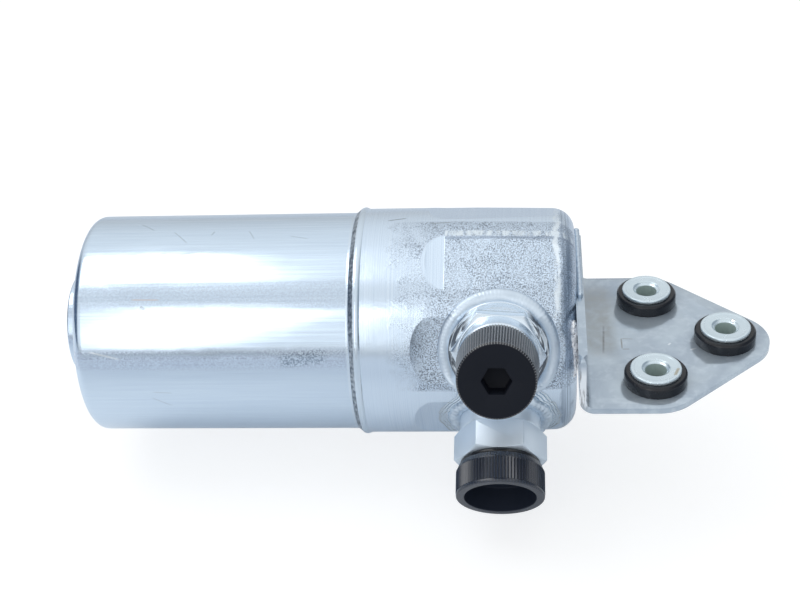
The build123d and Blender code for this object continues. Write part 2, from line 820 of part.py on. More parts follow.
def cartridge_disc(name, place, thickness, radius, holes):
    """A disc of the drying cartridge, threaded on the dip tube."""
    with BuildPart() as disc:
        with BuildSketch(cross_can_plane(place)):
            Circle(radius)
            Circle(tube_radius + tube_clearance, mode=Mode.SUBTRACT)
            for ring_radius, count in holes:
                with PolarLocations(ring_radius, count):
                    Circle(plate_hole_radius, mode=Mode.SUBTRACT)
        extrude(amount=thickness)
    disc.part.label = name
    export_step(disc.part, "parts/" + name + ".step")
    return place - thickness


# Drying cartridge: the top plate is held between the can's mouth and the shell
plate_hole_rings = (
    (plate_inner_ring_radius, plate_inner_ring_holes),
    (plate_outer_ring_radius, plate_outer_ring_holes),
)
place = cartridge_disc(
    "retainer_plate_top", shell_step_x, plate_sheet, can_radius, plate_hole_rings
)
place = cartridge_disc("filter_pad_top", place, pad_thickness, bed_radius, ())
place = cartridge_disc("desiccant_bed", place, bed_length, bed_radius, ())
place = cartridge_disc("filter_pad_bottom", place, pad_thickness, bed_radius, ())
place = cartridge_disc(
    "retainer_plate_bottom", place, plate_sheet, bed_radius, plate_hole_rings
)

# Spring of flat wire between the bottom plate and the can's closed end
with BuildPart() as retainer_spring:
    spring_length = place - (closed_end_x + can_wall)
    spring_reach = spring_length - spring_wire_height
    with BuildLine() as coil:
        Helix(
            spring_reach / spring_turns,
            spring_reach,
            spring_radius,
            center=(place - spring_wire_height / 2, can_axis_y, can_axis_z),
            direction=(-1, 0, 0),
        )
    with BuildSketch(Plane(coil.line @ 0, x_dir=(1, 0, 0), z_dir=coil.line % 0)):
        Rectangle(spring_wire_height, spring_wire_width)
    sweep(is_frenet=True)
retainer_spring.part.label = "retainer_spring"
export_step(retainer_spring.part, "parts/retainer_spring.step")

# Strainer: a cage of plastic on the tube's end, with a sleeve of fine mesh
with BuildPart() as strainer_cage:
    with BuildSketch(cross_can_plane(strainer_top_x)):
        Circle(strainer_radius)
    extrude(amount=strainer_length)
    with BuildSketch(cross_can_plane(strainer_top_x - strainer_wall)):
        Circle(strainer_radius - strainer_wall)
    extrude(amount=strainer_length - 2 * strainer_wall, mode=Mode.SUBTRACT)
    with BuildSketch(cross_can_plane(strainer_top_x)):
        Circle(tube_radius + bush_clearance)
    extrude(amount=strainer_wall, mode=Mode.SUBTRACT)
    window_centre_x = strainer_top_x - strainer_length / 2
    for window in range(strainer_windows):
        turn = 2 * pi * window / strainer_windows
        outward = Vector(0, cos(turn), sin(turn))
        window_centre = Vector(window_centre_x, can_axis_y, can_axis_z)
        with BuildSketch(Plane(window_centre, x_dir=(1, 0, 0), z_dir=outward)):
            Rectangle(strainer_window_height, strainer_window_width)
        extrude(amount=strainer_radius + cut_overshoot, mode=Mode.SUBTRACT)
strainer_cage.part.label = "strainer_cage"
export_step(strainer_cage.part, "parts/strainer_cage.step")

with BuildPart() as strainer_mesh:
    mesh_radius = strainer_radius - strainer_wall
    with BuildSketch(cross_can_plane(strainer_top_x - strainer_wall)):
        Circle(mesh_radius)
        Circle(mesh_radius - strainer_mesh_thickness, mode=Mode.SUBTRACT)
    extrude(amount=strainer_length - 2 * strainer_wall)
strainer_mesh.part.label = "strainer_mesh"
export_step(strainer_mesh.part, "parts/strainer_mesh.step")
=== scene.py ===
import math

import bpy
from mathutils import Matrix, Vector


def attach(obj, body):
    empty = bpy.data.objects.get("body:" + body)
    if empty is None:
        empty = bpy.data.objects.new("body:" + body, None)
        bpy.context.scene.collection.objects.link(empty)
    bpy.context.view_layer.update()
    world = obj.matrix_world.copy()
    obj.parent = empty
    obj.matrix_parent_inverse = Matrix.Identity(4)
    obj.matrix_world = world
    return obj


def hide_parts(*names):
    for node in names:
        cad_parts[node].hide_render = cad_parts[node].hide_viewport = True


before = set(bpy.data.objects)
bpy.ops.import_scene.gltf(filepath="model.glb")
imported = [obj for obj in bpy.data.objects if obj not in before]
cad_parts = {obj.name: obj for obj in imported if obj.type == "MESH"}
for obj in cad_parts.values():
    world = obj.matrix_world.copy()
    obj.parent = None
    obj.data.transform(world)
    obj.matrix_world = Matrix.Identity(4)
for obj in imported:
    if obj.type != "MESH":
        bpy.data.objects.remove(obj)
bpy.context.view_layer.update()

# %% [markdown]
# # A receiver drier, dressed for the studio
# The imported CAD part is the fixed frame: it gives every size and place, and it stays as it
# is. What this lesson adds is what a drawing leaves out: rolled edges, weld ripples, screw
# threads, tool marks, grain and wear. Each visible piece is modelled again, a little finer,
# where its CAD node stands. The pieces inside keep their CAD meshes and get new finishes.

# %% [markdown]
# ## Sizes that many pieces share
# They repeat the named values of the part's source, in millimetres. The can lies along X,
# the two ports stand on it at their angles above the horizontal, and the three bushes stand
# upright on the bracket.

# %% Shared sizes
MM = 0.001
can_axis_y = 20.3
can_axis_z = 5.2
can_radius = 45.0
shell_radius = 46.6
port_x = -89.3
port_foot = (port_x, can_axis_y, can_axis_z)
outlet_angle = 19.0
inlet_angle = -26.5
port_flat_distance = 44.6
plain_flat_distance = 44.95
hex_across_flats = 32.0
knurl_ridges = 88
bush_places = {"tip": (0.0, 0.0), "front": (-29.2, -27.3), "rear": (-29.2, 27.3)}
print("ports at x", port_x, "bushes at", bush_places)

# %% [markdown]
# ## The camera
# It stands where the photographer stood: half a metre in front of the ports, looking down
# at 34 degrees. The lens and the turn were found by fitting the rims of the can.

# %% Camera
camera_data = bpy.data.cameras.new("camera")
camera_data.lens = 67.361
camera = bpy.data.objects.new("camera", camera_data)
camera.location = Vector((-75.706, -492.337, 361.007)) * MM
camera.rotation_euler = [math.radians(turn) for turn in (56.0874, 3.3251, 3.8993)]
bpy.context.scene.collection.objects.link(camera)
bpy.context.scene.camera = camera
bpy.context.scene.view_settings.view_transform = "Standard"
print("camera", [round(value, 3) for value in camera.location], "lens", camera_data.lens)

# %% [markdown]
# ## Helpers for modelling by operators
# An operator acts on all that is selected, so each step begins by clearing the selection.
# Vertices and faces are then picked by their place, as a mouse would pick them.

# %% Selecting
def clear_selection():
    if bpy.context.object and bpy.context.object.mode != "OBJECT":
        bpy.ops.object.mode_set(mode="OBJECT")
    bpy.ops.object.select_all(action="DESELECT")


def activate(piece):
    clear_selection()
    piece.select_set(True)
    bpy.context.view_layer.objects.active = piece


def pick(piece, test, kind="VERT"):
    """Selects the vertices, or the faces, whose place passes a test, in edit mode."""
    activate(piece)
    bpy.ops.object.mode_set(mode="EDIT")
    bpy.ops.mesh.select_mode(type=kind)
    bpy.ops.mesh.select_all(action="DESELECT")
    bpy.ops.object.mode_set(mode="OBJECT")
    found = 0
    if kind == "VERT":
        for vertex in piece.data.vertices:
            vertex.select = test(vertex.co / MM)
            found += vertex.select
    else:
        for face in piece.data.polygons:
            face.select = test(face.center / MM, face.normal)
            found += face.select
    bpy.ops.object.mode_set(mode="EDIT")
    return found


def modified(piece, kind, **settings):
    """Adds a modifier, gives it its settings and applies it."""
    activate(piece)
    modifier = piece.modifiers.new("step", kind)
    for setting, value in settings.items():
        setattr(modifier, setting, value)
    bpy.ops.object.modifier_apply(modifier=modifier.name)


# %% [markdown]
# A mesh that was drawn by hand has doubled vertices, and its faces may point either way. So
# each drawn mesh ends with the same two steps: merge what shares a place, and turn every
# face outwards.

# %% Closing a mesh, in edit mode
same_place = 0.002 * MM


def merge_doubles():
    bpy.ops.mesh.select_all(action="SELECT")
    bpy.ops.mesh.remove_doubles(threshold=same_place)


def face_outwards():
    bpy.ops.mesh.select_all(action="SELECT")
    bpy.ops.mesh.normals_make_consistent(inside=False)
    bpy.ops.object.mode_set(mode="OBJECT")


def draw_out(width):
    """Fills a closed wire, and draws it out along Y, half the width to each side."""
    merge_doubles()
    bpy.ops.mesh.edge_face_add()
    bpy.ops.mesh.select_all(action="SELECT")
    bpy.ops.transform.translate(value=(0, -width / 2 * MM, 0))
    bpy.ops.mesh.extrude_region_move(TRANSFORM_OT_translate={"value": (0, width * MM, 0)})
    face_outwards()


# %% [markdown]
# ## Turned pieces
# Most of this object was turned on a lathe or drawn in a round die, so most of it can be
# made in one way: draw half of the section as a wire, round its corners with a vertex
# bevel, and spin the wire once round the axis. A section that begins and ends on the axis
# gives a closed solid, and so does a closed wire beside the axis.

# %% Drawing a section and turning it
degrees_a_segment = 9


def draw_wire(name, corners):
    """Draws a wire through (x, z) corners in millimetres. A third number rounds a corner."""
    clear_selection()
    points = [Vector((corner[0], 0, corner[1])) * MM for corner in corners]
    bpy.ops.mesh.primitive_plane_add(size=MM)
    piece = bpy.context.object
    piece.name = name
    bpy.ops.object.mode_set(mode="EDIT")
    bpy.ops.mesh.merge(type="CENTER")
    bpy.ops.transform.translate(value=points[0])
    for before, after in zip(points, points[1:]):
        bpy.ops.mesh.extrude_region_move(TRANSFORM_OT_translate={"value": after - before})
    for place in range(1, len(corners) - 1):
        if len(corners[place]) < 3:
            continue
        way_in = points[place] - points[place - 1]
        way_out = points[place + 1] - points[place]
        bend = way_in.angle(way_out)
        here = points[place] / MM
        pick(piece, lambda spot: (spot - here).length < 0.001)
        bpy.ops.mesh.bevel(
            offset_type="OFFSET",
            offset=corners[place][2] * math.tan(bend / 2) * MM,
            segments=max(2, round(math.degrees(bend) / degrees_a_segment)),
            affect="VERTICES",
        )
    return piece


def turned(name, corners, steps=144):
    """Spins a wire of (radius, height) corners round the Z axis."""
    piece = draw_wire(name, corners)
    bpy.ops.mesh.select_all(action="SELECT")
    bpy.ops.mesh.spin(steps=steps, angle=2 * math.pi, center=(0, 0, 0), axis=(0, 0, 1))
    merge_doubles()
    face_outwards()
    return piece


# %% [markdown]
# Cutting, joining and placing are the same for every piece. A finished piece has its place
# in its mesh and its object at the origin, so that patterns on Object coordinates agree
# with the places given in millimetres. A narrow bevel gives an edge the thin line of light that
# every real edge has.

# %% Cutting, joining and placing
def cut(piece, tool, operation="DIFFERENCE"):
    modified(piece, "BOOLEAN", operation=operation, solver="EXACT", object=tool)
    bpy.data.objects.remove(tool)


def soften(piece, width, sharp_angle):
    """A bevel in millimetres on each edge that turns by more than an angle."""
    angle_limit = math.radians(sharp_angle)
    modified(
        piece, "BEVEL", width=width * MM, segments=2, limit_method="ANGLE", angle_limit=angle_limit
    )


def joined(pieces):
    activate(pieces[0])
    for piece in pieces:
        piece.select_set(True)
    bpy.ops.object.join()
    return pieces[0]


def copied(piece, name):
    copy = piece.copy()
    copy.data = piece.data.copy()
    copy.name = name
    bpy.context.scene.collection.objects.link(copy)
    return copy


def placed(piece, matrix):
    activate(piece)
    piece.matrix_world = matrix
    bpy.ops.object.transform_apply(location=True, rotation=True, scale=True)
    return piece


def prism(sides, radius, depth, place, turn=0.0):
    """An upright prism of so many sides round a place, in millimetres and degrees."""
    clear_selection()
    bpy.ops.mesh.primitive_cylinder_add(
        vertices=sides,
        radius=radius * MM,
        depth=depth * MM,
        location=Vector(place) * MM,
        rotation=(0, 0, math.radians(turn)),
    )
    bpy.ops.object.transform_apply(location=True, rotation=True, scale=True)
    return bpy.context.object


def on_can():
    """Lays the Z axis along the can, towards the bracket."""
    foot = Vector((0, can_axis_y, can_axis_z)) * MM
    return Matrix.Translation(foot) @ Matrix.Rotation(math.pi / 2, 4, "Y")


def on_port(angle):
    """Stands the Z axis on the can's axis, out through a port."""
    foot = Vector(port_foot) * MM
    return Matrix.Translation(foot) @ Matrix.Rotation(math.radians(90 - angle), 4, "X")


def on_bush(place):
    x, y = bush_places[place]
    return Matrix.Translation(Vector((x, y, 0)) * MM)


def finish_piece(piece, smooth_angle, material, body, node):
    """Shades a piece, gives it its finish, and lets it stand for its CAD node."""
    activate(piece)
    bpy.ops.object.shade_smooth_by_angle(angle=math.radians(smooth_angle))
    piece.data.materials.clear()
    piece.data.materials.append(material)
    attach(piece, body)
    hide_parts(node)
    print(piece.name, "has", len(piece.data.polygons), "faces and stands for", node)


# %% [markdown]
# ## Helpers for finishes
# Each finish is a small tree of nodes on one Principled shader. `wire_up` adds a node, sets
# its values and links its inputs in one line, so that a tree reads as a list of steps. A
# helper takes a material, or the world, or a lamp: each of them has a tree of nodes.

# %% Building node trees
def new_finish(name, colour, metallic, roughness):
    material = bpy.data.materials.new(name)
    material.use_nodes = True
    shader = material.node_tree.nodes["Principled BSDF"]
    shader.inputs["Base Color"].default_value = (*colour, 1)
    shader.inputs["Metallic"].default_value = metallic
    shader.inputs["Roughness"].default_value = roughness
    return material, shader


def wire_up(material, kind, values=(), links=(), **settings):
    """Adds a node. Values and links are pairs of an input's name or number and what it gets."""
    node = material.node_tree.nodes.new("ShaderNode" + kind)
    for name, value in settings.items():
        setattr(node, name, value)
    for key, value in values:
        node.inputs[key].default_value = value
    for key, socket in links:
        material.node_tree.links.new(socket, node.inputs[key])
    return node


def plug(material, given, socket):
    """Gives an input a number, a colour, or what another node puts out."""
    if isinstance(given, (int, float)):
        socket.default_value = given
    elif isinstance(given, tuple):
        socket.default_value = (*given, 1)
    else:
        material.node_tree.links.new(given, socket)


def feed(material, socket, shader, name):
    material.node_tree.links.new(socket, shader.inputs[name])


# %% [markdown]
# Sums on sockets come next. Places on the object are in metres, as Blender measures them,
# but `fade` and `window` take them in millimetres, as the drawing gives them.

# %% Sums, fades and mixes
def math_step(material, operation, *given):
    """One sum on sockets or plain numbers, and its result's socket."""
    node = wire_up(material, "Math", operation=operation)
    for value, socket in zip(given, node.inputs):
        plug(material, value, socket)
    return node.outputs[0]


def times(material, product, *factors):
    for factor in factors:
        product = math_step(material, "MULTIPLY", product, factor)
    return product


def spread(material, socket, low, high, to_low=0.0, to_high=1.0):
    """Stretches a range of values to another, clamped at both ends."""
    node = wire_up(material, "MapRange", links=[(0, socket)], clamp=True)
    for place, value in enumerate((low, high, to_low, to_high), start=1):
        node.inputs[place].default_value = value
    return node.outputs[0]


def fade(material, place, start, end):
    """0 at one place and 1 at another, in millimetres."""
    return spread(material, place, start * MM, end * MM)


def window(material, place, low, high, soft):
    """1 between two places, fading to 0 beyond them, in millimetres."""
    rising = fade(material, place, low - soft, low)
    falling = fade(material, place, high + soft, high)
    return times(material, rising, falling)


def blend_colour(material, factor, first, second):
    """Mixes two colours, given as numbers or as sockets."""
    node = wire_up(material, "Mix", data_type="RGBA")
    for place, given in ((0, factor), (6, first), (7, second)):
        plug(material, given, node.inputs[place])
    return node.outputs[2]


# %% Coordinates, noise and bump
def object_place(material):
    return wire_up(material, "TexCoord").outputs["Object"]


def seen_from(material, vector, location, rotation=(0, 0, 0)):
    """Coordinates as seen from another origin, in millimetres and degrees."""
    node = wire_up(material, "Mapping", vector_type="TEXTURE", links=[(0, vector)])
    node.inputs["Location"].default_value = Vector(location) * MM
    node.inputs["Rotation"].default_value = [math.radians(turn) for turn in rotation]
    return node.outputs[0]


def seen_from_port(material, angle):
    """Coordinates with their Z axis out through a port."""
    return seen_from(material, object_place(material), port_foot, (90 - angle, 0, 0))


def split(material, vector):
    """The three numbers of a vector, one socket each."""
    return tuple(wire_up(material, "SeparateXYZ", links=[(0, vector)]).outputs)


def noise(material, vector, scale, detail=2.0, distortion=0.0):
    """Noise from 0 to 1. Three scales, one for each direction, stretch it."""
    if isinstance(scale, tuple):
        stretch = wire_up(material, "Mapping", links=[(0, vector)])
        stretch.inputs["Scale"].default_value = scale
        vector, scale = stretch.outputs[0], 1.0
    node = wire_up(
        material,
        "TexNoise",
        values=[("Scale", scale), ("Detail", detail), ("Distortion", distortion)],
        links=[("Vector", vector)],
    )
    return node.outputs["Fac"]


def bumps(material, shader, *layers):
    """Raises the surface by layers of (height from 0 to 1, distance in millimetres)."""
    links = []
    for height, distance in layers:
        node = wire_up(
            material,
            "Bump",
            values=[("Distance", distance * MM), ("Strength", 1.0)],
            links=[("Height", height), *links],
        )
        links = [("Normal", node.outputs[0])]
    feed(material, node.outputs[0], shader, "Normal")


# %% [markdown]
# ### Coordinates that follow a round surface
# Grooves, streaks and scratches run along the can or round it. So the place of a point is
# unrolled: the first number is the way along the axis, and the second is the angle round it
# times the radius. A pattern stretched on these two follows the metal as its tool did.

# %% Unrolled and polar coordinates
def unrolled(material, radius):
    """(way along X, arc length up from the front, 0) on a round wall that lies along X."""
    centred = seen_from(material, object_place(material), (0, can_axis_y, can_axis_z))
    along, behind, above = split(material, centred)
    angle = math_step(material, "ARCTAN2", above, times(material, behind, -1.0))
    arc = times(material, angle, radius * MM)
    return wire_up(material, "CombineXYZ", links=[(0, along), (1, arc)]).outputs[0]


def polar(material, centred, radius):
    """(arc length round the Z axis, height, distance from the axis) for turned pieces."""
    x, y, height = split(material, centred)
    arc = times(material, math_step(material, "ARCTAN2", y, x), radius * MM)
    square = math_step(material, "MULTIPLY_ADD", y, y, times(material, x, x))
    away = math_step(material, "SQRT", square)
    links = [(0, arc), (1, height), (2, away)]
    return wire_up(material, "CombineXYZ", links=links).outputs[0]


# %% [markdown]
# ## Aluminium, in four states
# The can is drawn: its skin is nearly a mirror, with fine streaks along the draw. The shell
# is turned: fine rings run round it, and a grain where it was etched. The fittings
# are milled, and the welds are frozen metal, frosted and dull. All four share one colour,
# and differ in roughness and in the direction of their marks.
#
# Wear is laid on one by one. A scratch or a stain is a line with its own width, depth and
# colour, and a fine noise breaks it up, as the skin under it does.

# %% The shared colour, and how a mark is made
aluminium = (0.70, 0.80, 0.90)
scratch_grey = (0.40, 0.46, 0.52)


def scratch(material, flat, start, end, width):
    """A line from start to end on flat coordinates, in millimetres: 1 on it, 0 beside it."""
    way = Vector(end) - Vector(start)
    turn = math.degrees(math.atan2(way.y, way.x))
    forward, aside, _ = split(material, seen_from(material, flat, (*start, 0), (0, 0, turn)))
    near = fade(material, math_step(material, "ABSOLUTE", aside), width, width / 2)
    half = way.length / 2
    off_middle = math_step(material, "SUBTRACT", forward, half * MM)
    off_middle = math_step(material, "ABSOLUTE", off_middle)
    return times(material, near, fade(material, off_middle, half, half * 0.7))


def marked(material, metal, flat, marks, broken_by, strength):
    """Lays marks of (start, end, width, depth, colour) over a colour."""
    for start, end, width, depth, colour in marks:
        line = scratch(material, flat, start, end, width)
        share = times(material, line, broken_by, depth * strength)
        metal = blend_colour(material, share, metal, colour)
    return metal


# %% [markdown]
# Two faint dark bands along the can are painted reflections, mottled by the streaks, and a darker
# mottled patch lies close to the seam. The streaks end at the closed end's corner, because the die
# never touched beyond it.

# %% Drawn aluminium
can_marks = (
    ((-236, 77), (-229, 71), 0.4, 0.45, scratch_grey),
    ((-221, 70), (-214, 62), 0.4, 0.45, (0.42, 0.48, 0.54)),
    ((-205, 67), (-204, 70), 0.5, 0.4, scratch_grey),
    ((-190, 70), (-187, 64), 0.4, 0.35, scratch_grey),
    ((-173, 66), (-165, 64), 0.4, 0.35, scratch_grey),
    ((-229, -6), (-221, -11), 0.4, 0.4, scratch_grey),
    ((-228, -3), (-220, -3.6), 0.4, 0.35, (0.45, 0.50, 0.55)),
    ((-251.8, 15.5), (-238.8, 12.1), 0.5, 0.8, (0.88, 0.94, 0.98)),
    ((-234.5, 36.2), (-222.4, 36.0), 0.4, 0.7, (0.72, 0.62, 0.60)),
    ((-230.5, 33.5), (-228.5, 32.2), 0.8, 0.6, (0.35, 0.38, 0.42)),
)


def drawn_aluminium():
    material, shader = new_finish("drawn_aluminium", aluminium, 1.0, 0.16)
    flat = unrolled(material, can_radius)
    along, arc, _ = split(material, flat)
    streaks = noise(material, flat, (12, 900, 1), 3.0)
    fine = noise(material, flat, (40, 3000, 1), 2.0)
    cloud = noise(material, flat, (18, 30, 1), 3.0, 0.5)
    speck = noise(material, object_place(material), 1500.0, 2.0)
    on_wall = fade(material, along, -257.5, -255.5)
    tone = spread(material, math_step(material, "ADD", streaks, fine), 0.7, 1.3)
    tone = times(material, tone, on_wall)
    metal = blend_colour(material, tone, (0.63, 0.74, 0.87), (0.71, 0.82, 0.93))

    # Painted reflections: two dark bands at set heights round the can.
    streaky = spread(material, streaks, 0.35, 0.65, 0.3, 1.0)
    low_band = times(material, window(material, arc, 9, 15, 2.5), streaky)
    middle_band = times(material, window(material, arc, 33, 42, 3), 0.3)
    painted_reflection_bands = math_step(material, "MAXIMUM", low_band, middle_band)
    painted_reflection_bands = times(material, painted_reflection_bands, spread(material, speck, 0.38, 0.62), 0.75)
    metal = blend_colour(material, painted_reflection_bands, metal, (0.42, 0.46, 0.60))
    patch = scratch(material, flat, (-176, 11.0), (-156, 13.5), 3.6)
    patch = times(material, patch, spread(material, speck, 0.42, 0.6))
    metal = blend_colour(material, patch, metal, (0.30, 0.37, 0.46))
    metal = marked(material, metal, flat, can_marks, fine, 1.8)
    feed(material, metal, shader, "Base Color")

    gloss = spread(material, times(material, streaks, cloud), 0.15, 0.4, 0.12, 0.24)
    feed(material, gloss, shader, "Roughness")
    bumps(material, shader, (cloud, 0.35), (times(material, streaks, on_wall), 0.003))
    return material


drawn_metal = drawn_aluminium()
print("drawn metal has", len(drawn_metal.node_tree.nodes), "nodes")

# %% [markdown]
# The shell's flats and the metal between them were etched before welding, and glitter with
# a grain of salt and pepper. The arc where the cutter left, the top flat and the shell's
# underside are smooth. The arc is half an ellipse on the unrolled coordinates, whose
# straight side is the line where the plain flat begins.

# %% Where the shell is etched, and where it melted
degree = shell_radius * math.radians(1)
flat_begins = -110.2
run_out_middle, run_out_half = 64.65 * degree, 15.8 * degree
run_out_length = 9.3


def cutter_run_out(material, along, arc):
    """The smooth arc where the disc cutter left the plain flat: 1 inside it."""
    aside = math_step(material, "SUBTRACT", arc, run_out_middle * MM)
    aside = math_step(material, "DIVIDE", aside, run_out_half * MM)
    beyond = math_step(material, "SUBTRACT", along, flat_begins * MM)
    beyond = math_step(material, "DIVIDE", beyond, run_out_length * MM)
    square = times(material, beyond, beyond)
    ellipse = math_step(material, "MULTIPLY_ADD", aside, aside, square)
    inside = spread(material, ellipse, 1.08, 0.92)
    return times(material, inside, fade(material, along, flat_begins, flat_begins - 0.3))


def melt_ring(material, cloud):
    """Shares of the pale ring and its thin rim round the lower port, and the ring's scales."""
    _, height, away = split(material, polar(material, seen_from_port(material, inlet_angle), 20.0))
    above = fade(material, height, 30, 34)
    wander = math_step(material, "MULTIPLY_ADD", cloud, 4 * MM, away)
    ring = times(material, window(material, wander, 19.5, 26.2, 0.4), above)
    rim = times(material, window(material, wander, 25.8, 26.3, 0.4), above)
    scales = math_step(material, "SINE", times(material, wander, 5200.0))
    return ring, rim, times(material, scales, ring)


# %% [markdown]
# The metal is painted from the ground up: rings from the lathe, grain, a dark line along
# the top flat's edge with a painted highlight above it, painted shade and a painted highlight
# at the shell's rounded end, two scratches, and the ring that melted round the lower port when it
# was welded.

# %% Turned aluminium, with an etched grain
def turned_aluminium():
    material, shader = new_finish("turned_aluminium", aluminium, 1.0, 0.25)
    flat = unrolled(material, shell_radius)
    along, arc, _ = split(material, flat)
    place = object_place(material)
    rings = noise(material, flat, (2500, 14, 1), 2.0)
    grain = noise(material, place, 2100.0, 4.0)
    cloud = noise(material, place, 110.0, 4.0, 0.6)
    blotch = noise(material, flat, (500, 90, 1), 3.0, 0.8)
    lines = noise(material, flat, (1600, 24, 1), 3.0, 0.6)
    on_flat = fade(material, along, flat_begins - 0.3, flat_begins)

    ragged = math_step(material, "MULTIPLY_ADD", cloud, 30 * MM, along)
    near_ports = window(material, ragged, -104, -45.5, 12)
    in_front = window(material, arc, -1.5 * degree, 91 * degree, 1.5 * degree)
    rough = math_step(material, "SUBTRACT", 1.0, cutter_run_out(material, along, arc))
    etched = times(material, near_ports, in_front, rough)
    dull = times(material, spread(material, cloud, 0.35, 0.6, 0.6, 1.0), etched)
    dark_specks = times(material, spread(material, grain, 0.44, 0.62), dull)

    edge_line = window(material, arc, 78.3 * degree, 79.3 * degree, 0.5 * degree)
    # Painted shade and a painted highlight across the shell's rounded end, and a painted highlight
    # along the top flat's edge.
    wavy = math_step(material, "MULTIPLY_ADD", cloud, 6 * MM, along)
    painted_shade_end = window(material, wavy, -61.2, -58.8, 1.2)
    painted_shade_end = times(material, painted_shade_end, spread(material, lines, 0.38, 0.58, 0.15, 1.3))
    painted_highlight_end = window(material, wavy, -63.8, -62.8, 1.0)
    painted_highlight_end = times(material, painted_highlight_end, spread(material, blotch, 0.38, 0.56))
    painted_highlight_end = times(material, painted_highlight_end, fade(material, arc, 30 * degree, 40 * degree))
    painted_highlight_top = window(material, arc, 80.6 * degree, 83.5 * degree, 1.0 * degree)
    painted_highlight_top = times(material, painted_highlight_top, on_flat, spread(material, blotch, 0.42, 0.6))
    painted_highlights = math_step(material, "MAXIMUM", painted_highlight_end, painted_highlight_top)
    ring, rim, scales = melt_ring(material, cloud)

    tone = spread(material, rings, 0.3, 0.7)
    metal = blend_colour(material, tone, (0.66, 0.77, 0.90), (0.75, 0.85, 0.96))
    for share, colour in (
        (times(material, dull, 0.12), (0.46, 0.54, 0.66)),
        (dark_specks, (0.17, 0.20, 0.25)),
        (times(material, edge_line, on_flat, 0.6), (0.28, 0.34, 0.44)),
        (times(material, painted_shade_end, 0.55), (0.30, 0.37, 0.47)),
        (times(material, painted_highlights, 0.8), (0.88, 0.95, 1.0)),
        (scratch(material, flat, (-134, 76.2), (-126, 78.4), 0.5), scratch_grey),
        (scratch(material, flat, (-117, 73.4), (-108, 74.2), 0.5), scratch_grey),
        (times(material, ring, 0.7), (0.76, 0.84, 0.90)),
        (times(material, rim, 0.35), (0.50, 0.54, 0.56)),
    ):
        metal = blend_colour(material, share, metal, colour)
    feed(material, metal, shader, "Base Color")
    feed(material, spread(material, dull, 0.0, 1.0, 0.2, 0.36), shader, "Roughness")
    pitted = times(material, grain, etched)
    bumps(material, shader, (scales, 0.12), (rings, 0.006), (cloud, 0.12), (pitted, 0.1))
    return material


turned_metal = turned_aluminium()
print("turned metal has", len(turned_metal.node_tree.nodes), "nodes")

# %% [markdown]
# Weld metal froze from a melt, so it has no tool marks, only frost. The seam's bead is dull
# and mottled at its foot and bright on its crown. The bracket's front weld is spattered, and
# painted near white as a highlight.

# %% Weld metal
def frozen_weld():
    material, shader = new_finish("weld_metal", aluminium, 1.0, 0.4)
    place = object_place(material)
    frost = noise(material, place, 1400.0, 3.0)
    cloud = noise(material, place, 160.0, 3.0)
    metal = blend_colour(material, cloud, (0.52, 0.61, 0.71), (0.78, 0.86, 0.94))
    feed(material, metal, shader, "Base Color")
    feed(material, spread(material, cloud, 0.35, 0.65, 0.28, 0.5), shader, "Roughness")
    bumps(material, shader, (cloud, 0.25), (frost, 0.05))
    return material


def seam_finish():
    """Dull and mottled at the foot of the seam, bright on its crown."""
    material, shader = new_finish("seam_metal", aluminium, 1.0, 0.25)
    flat = unrolled(material, shell_radius)
    along, _, _ = split(material, flat)
    foot = window(material, along, -147.5, -146.0, 0.3)
    mottle = noise(material, object_place(material), 700.0, 4.0)
    ripples = noise(material, flat, (60, 600, 1), 2.0)
    mottled = spread(material, mottle, 0.35, 0.65)
    dull = blend_colour(material, mottled, (0.14, 0.17, 0.21), (0.52, 0.58, 0.64))
    feed(material, blend_colour(material, foot, aluminium, dull), shader, "Base Color")
    feed(material, spread(material, foot, 0.0, 1.0, 0.2, 0.42), shader, "Roughness")
    bumps(material, shader, (ripples, 0.05), (times(material, mottle, foot), 0.2))
    return material


def spattered_weld():
    """The front weld of the bracket, rougher, painted near white as a highlight, with dark spatter.
    """
    material, shader = new_finish("spattered_weld", aluminium, 0.6, 0.3)
    spatter = noise(material, object_place(material), 1100.0, 3.0)
    # Painted highlight: the weld's colour is near white, broken by dark spatter.
    dark = spread(material, spatter, 0.54, 0.68)
    metal = blend_colour(material, dark, (0.98, 0.98, 1.0), (0.38, 0.36, 0.36))
    feed(material, metal, shader, "Base Color")
    bumps(material, shader, (spatter, 0.35))
    return material


weld_metal = frozen_weld()
seam_metal = seam_finish()
rough_weld = spattered_weld()
print("weld finishes:", weld_metal.name, seam_metal.name, rough_weld.name)

# %% [markdown]
# The upper fitting is bright, the lower one brushed and duller. On the upper one's base the
# mill left deep marks on both sides of the hexagon, darkened by painted shade.

# %% Milled aluminium, round one port
def milled_aluminium(name, angle, metallic, roughness):
    """Tool marks run round the port. Beside the hexagon they are deep, with painted shade in them.
    """
    clean = (0.76, 0.84, 0.92)
    material, shader = new_finish(name, clean, metallic, 0.2)
    centred = seen_from_port(material, angle)
    sideways, _, _ = split(material, centred)
    round_it = polar(material, centred, 16.0)
    _, height, _ = split(material, round_it)
    arcs = noise(material, round_it, (20, 2500, 2500), 2.0)
    cloud = noise(material, object_place(material), 120.0, 2.0)
    streaks = noise(material, round_it, (160, 100, 1400), 3.0, 0.6)
    beside = fade(material, math_step(material, "ABSOLUTE", sideways), 11, 13.5)
    on_base = window(material, height, 44.9, 45.32, 0.1)
    # Painted shade: the deep marks beside the hexagon are coloured nearly black.
    dark = times(material, spread(material, streaks, 0.42, 0.52), beside, on_base)
    feed(material, blend_colour(material, dark, clean, (0.12, 0.14, 0.17)), shader, "Base Color")
    gloss = spread(material, cloud, 0.3, 0.7, roughness - 0.06, roughness + 0.07)
    feed(material, gloss, shader, "Roughness")
    bumps(material, shader, (arcs, 0.008))
    return material


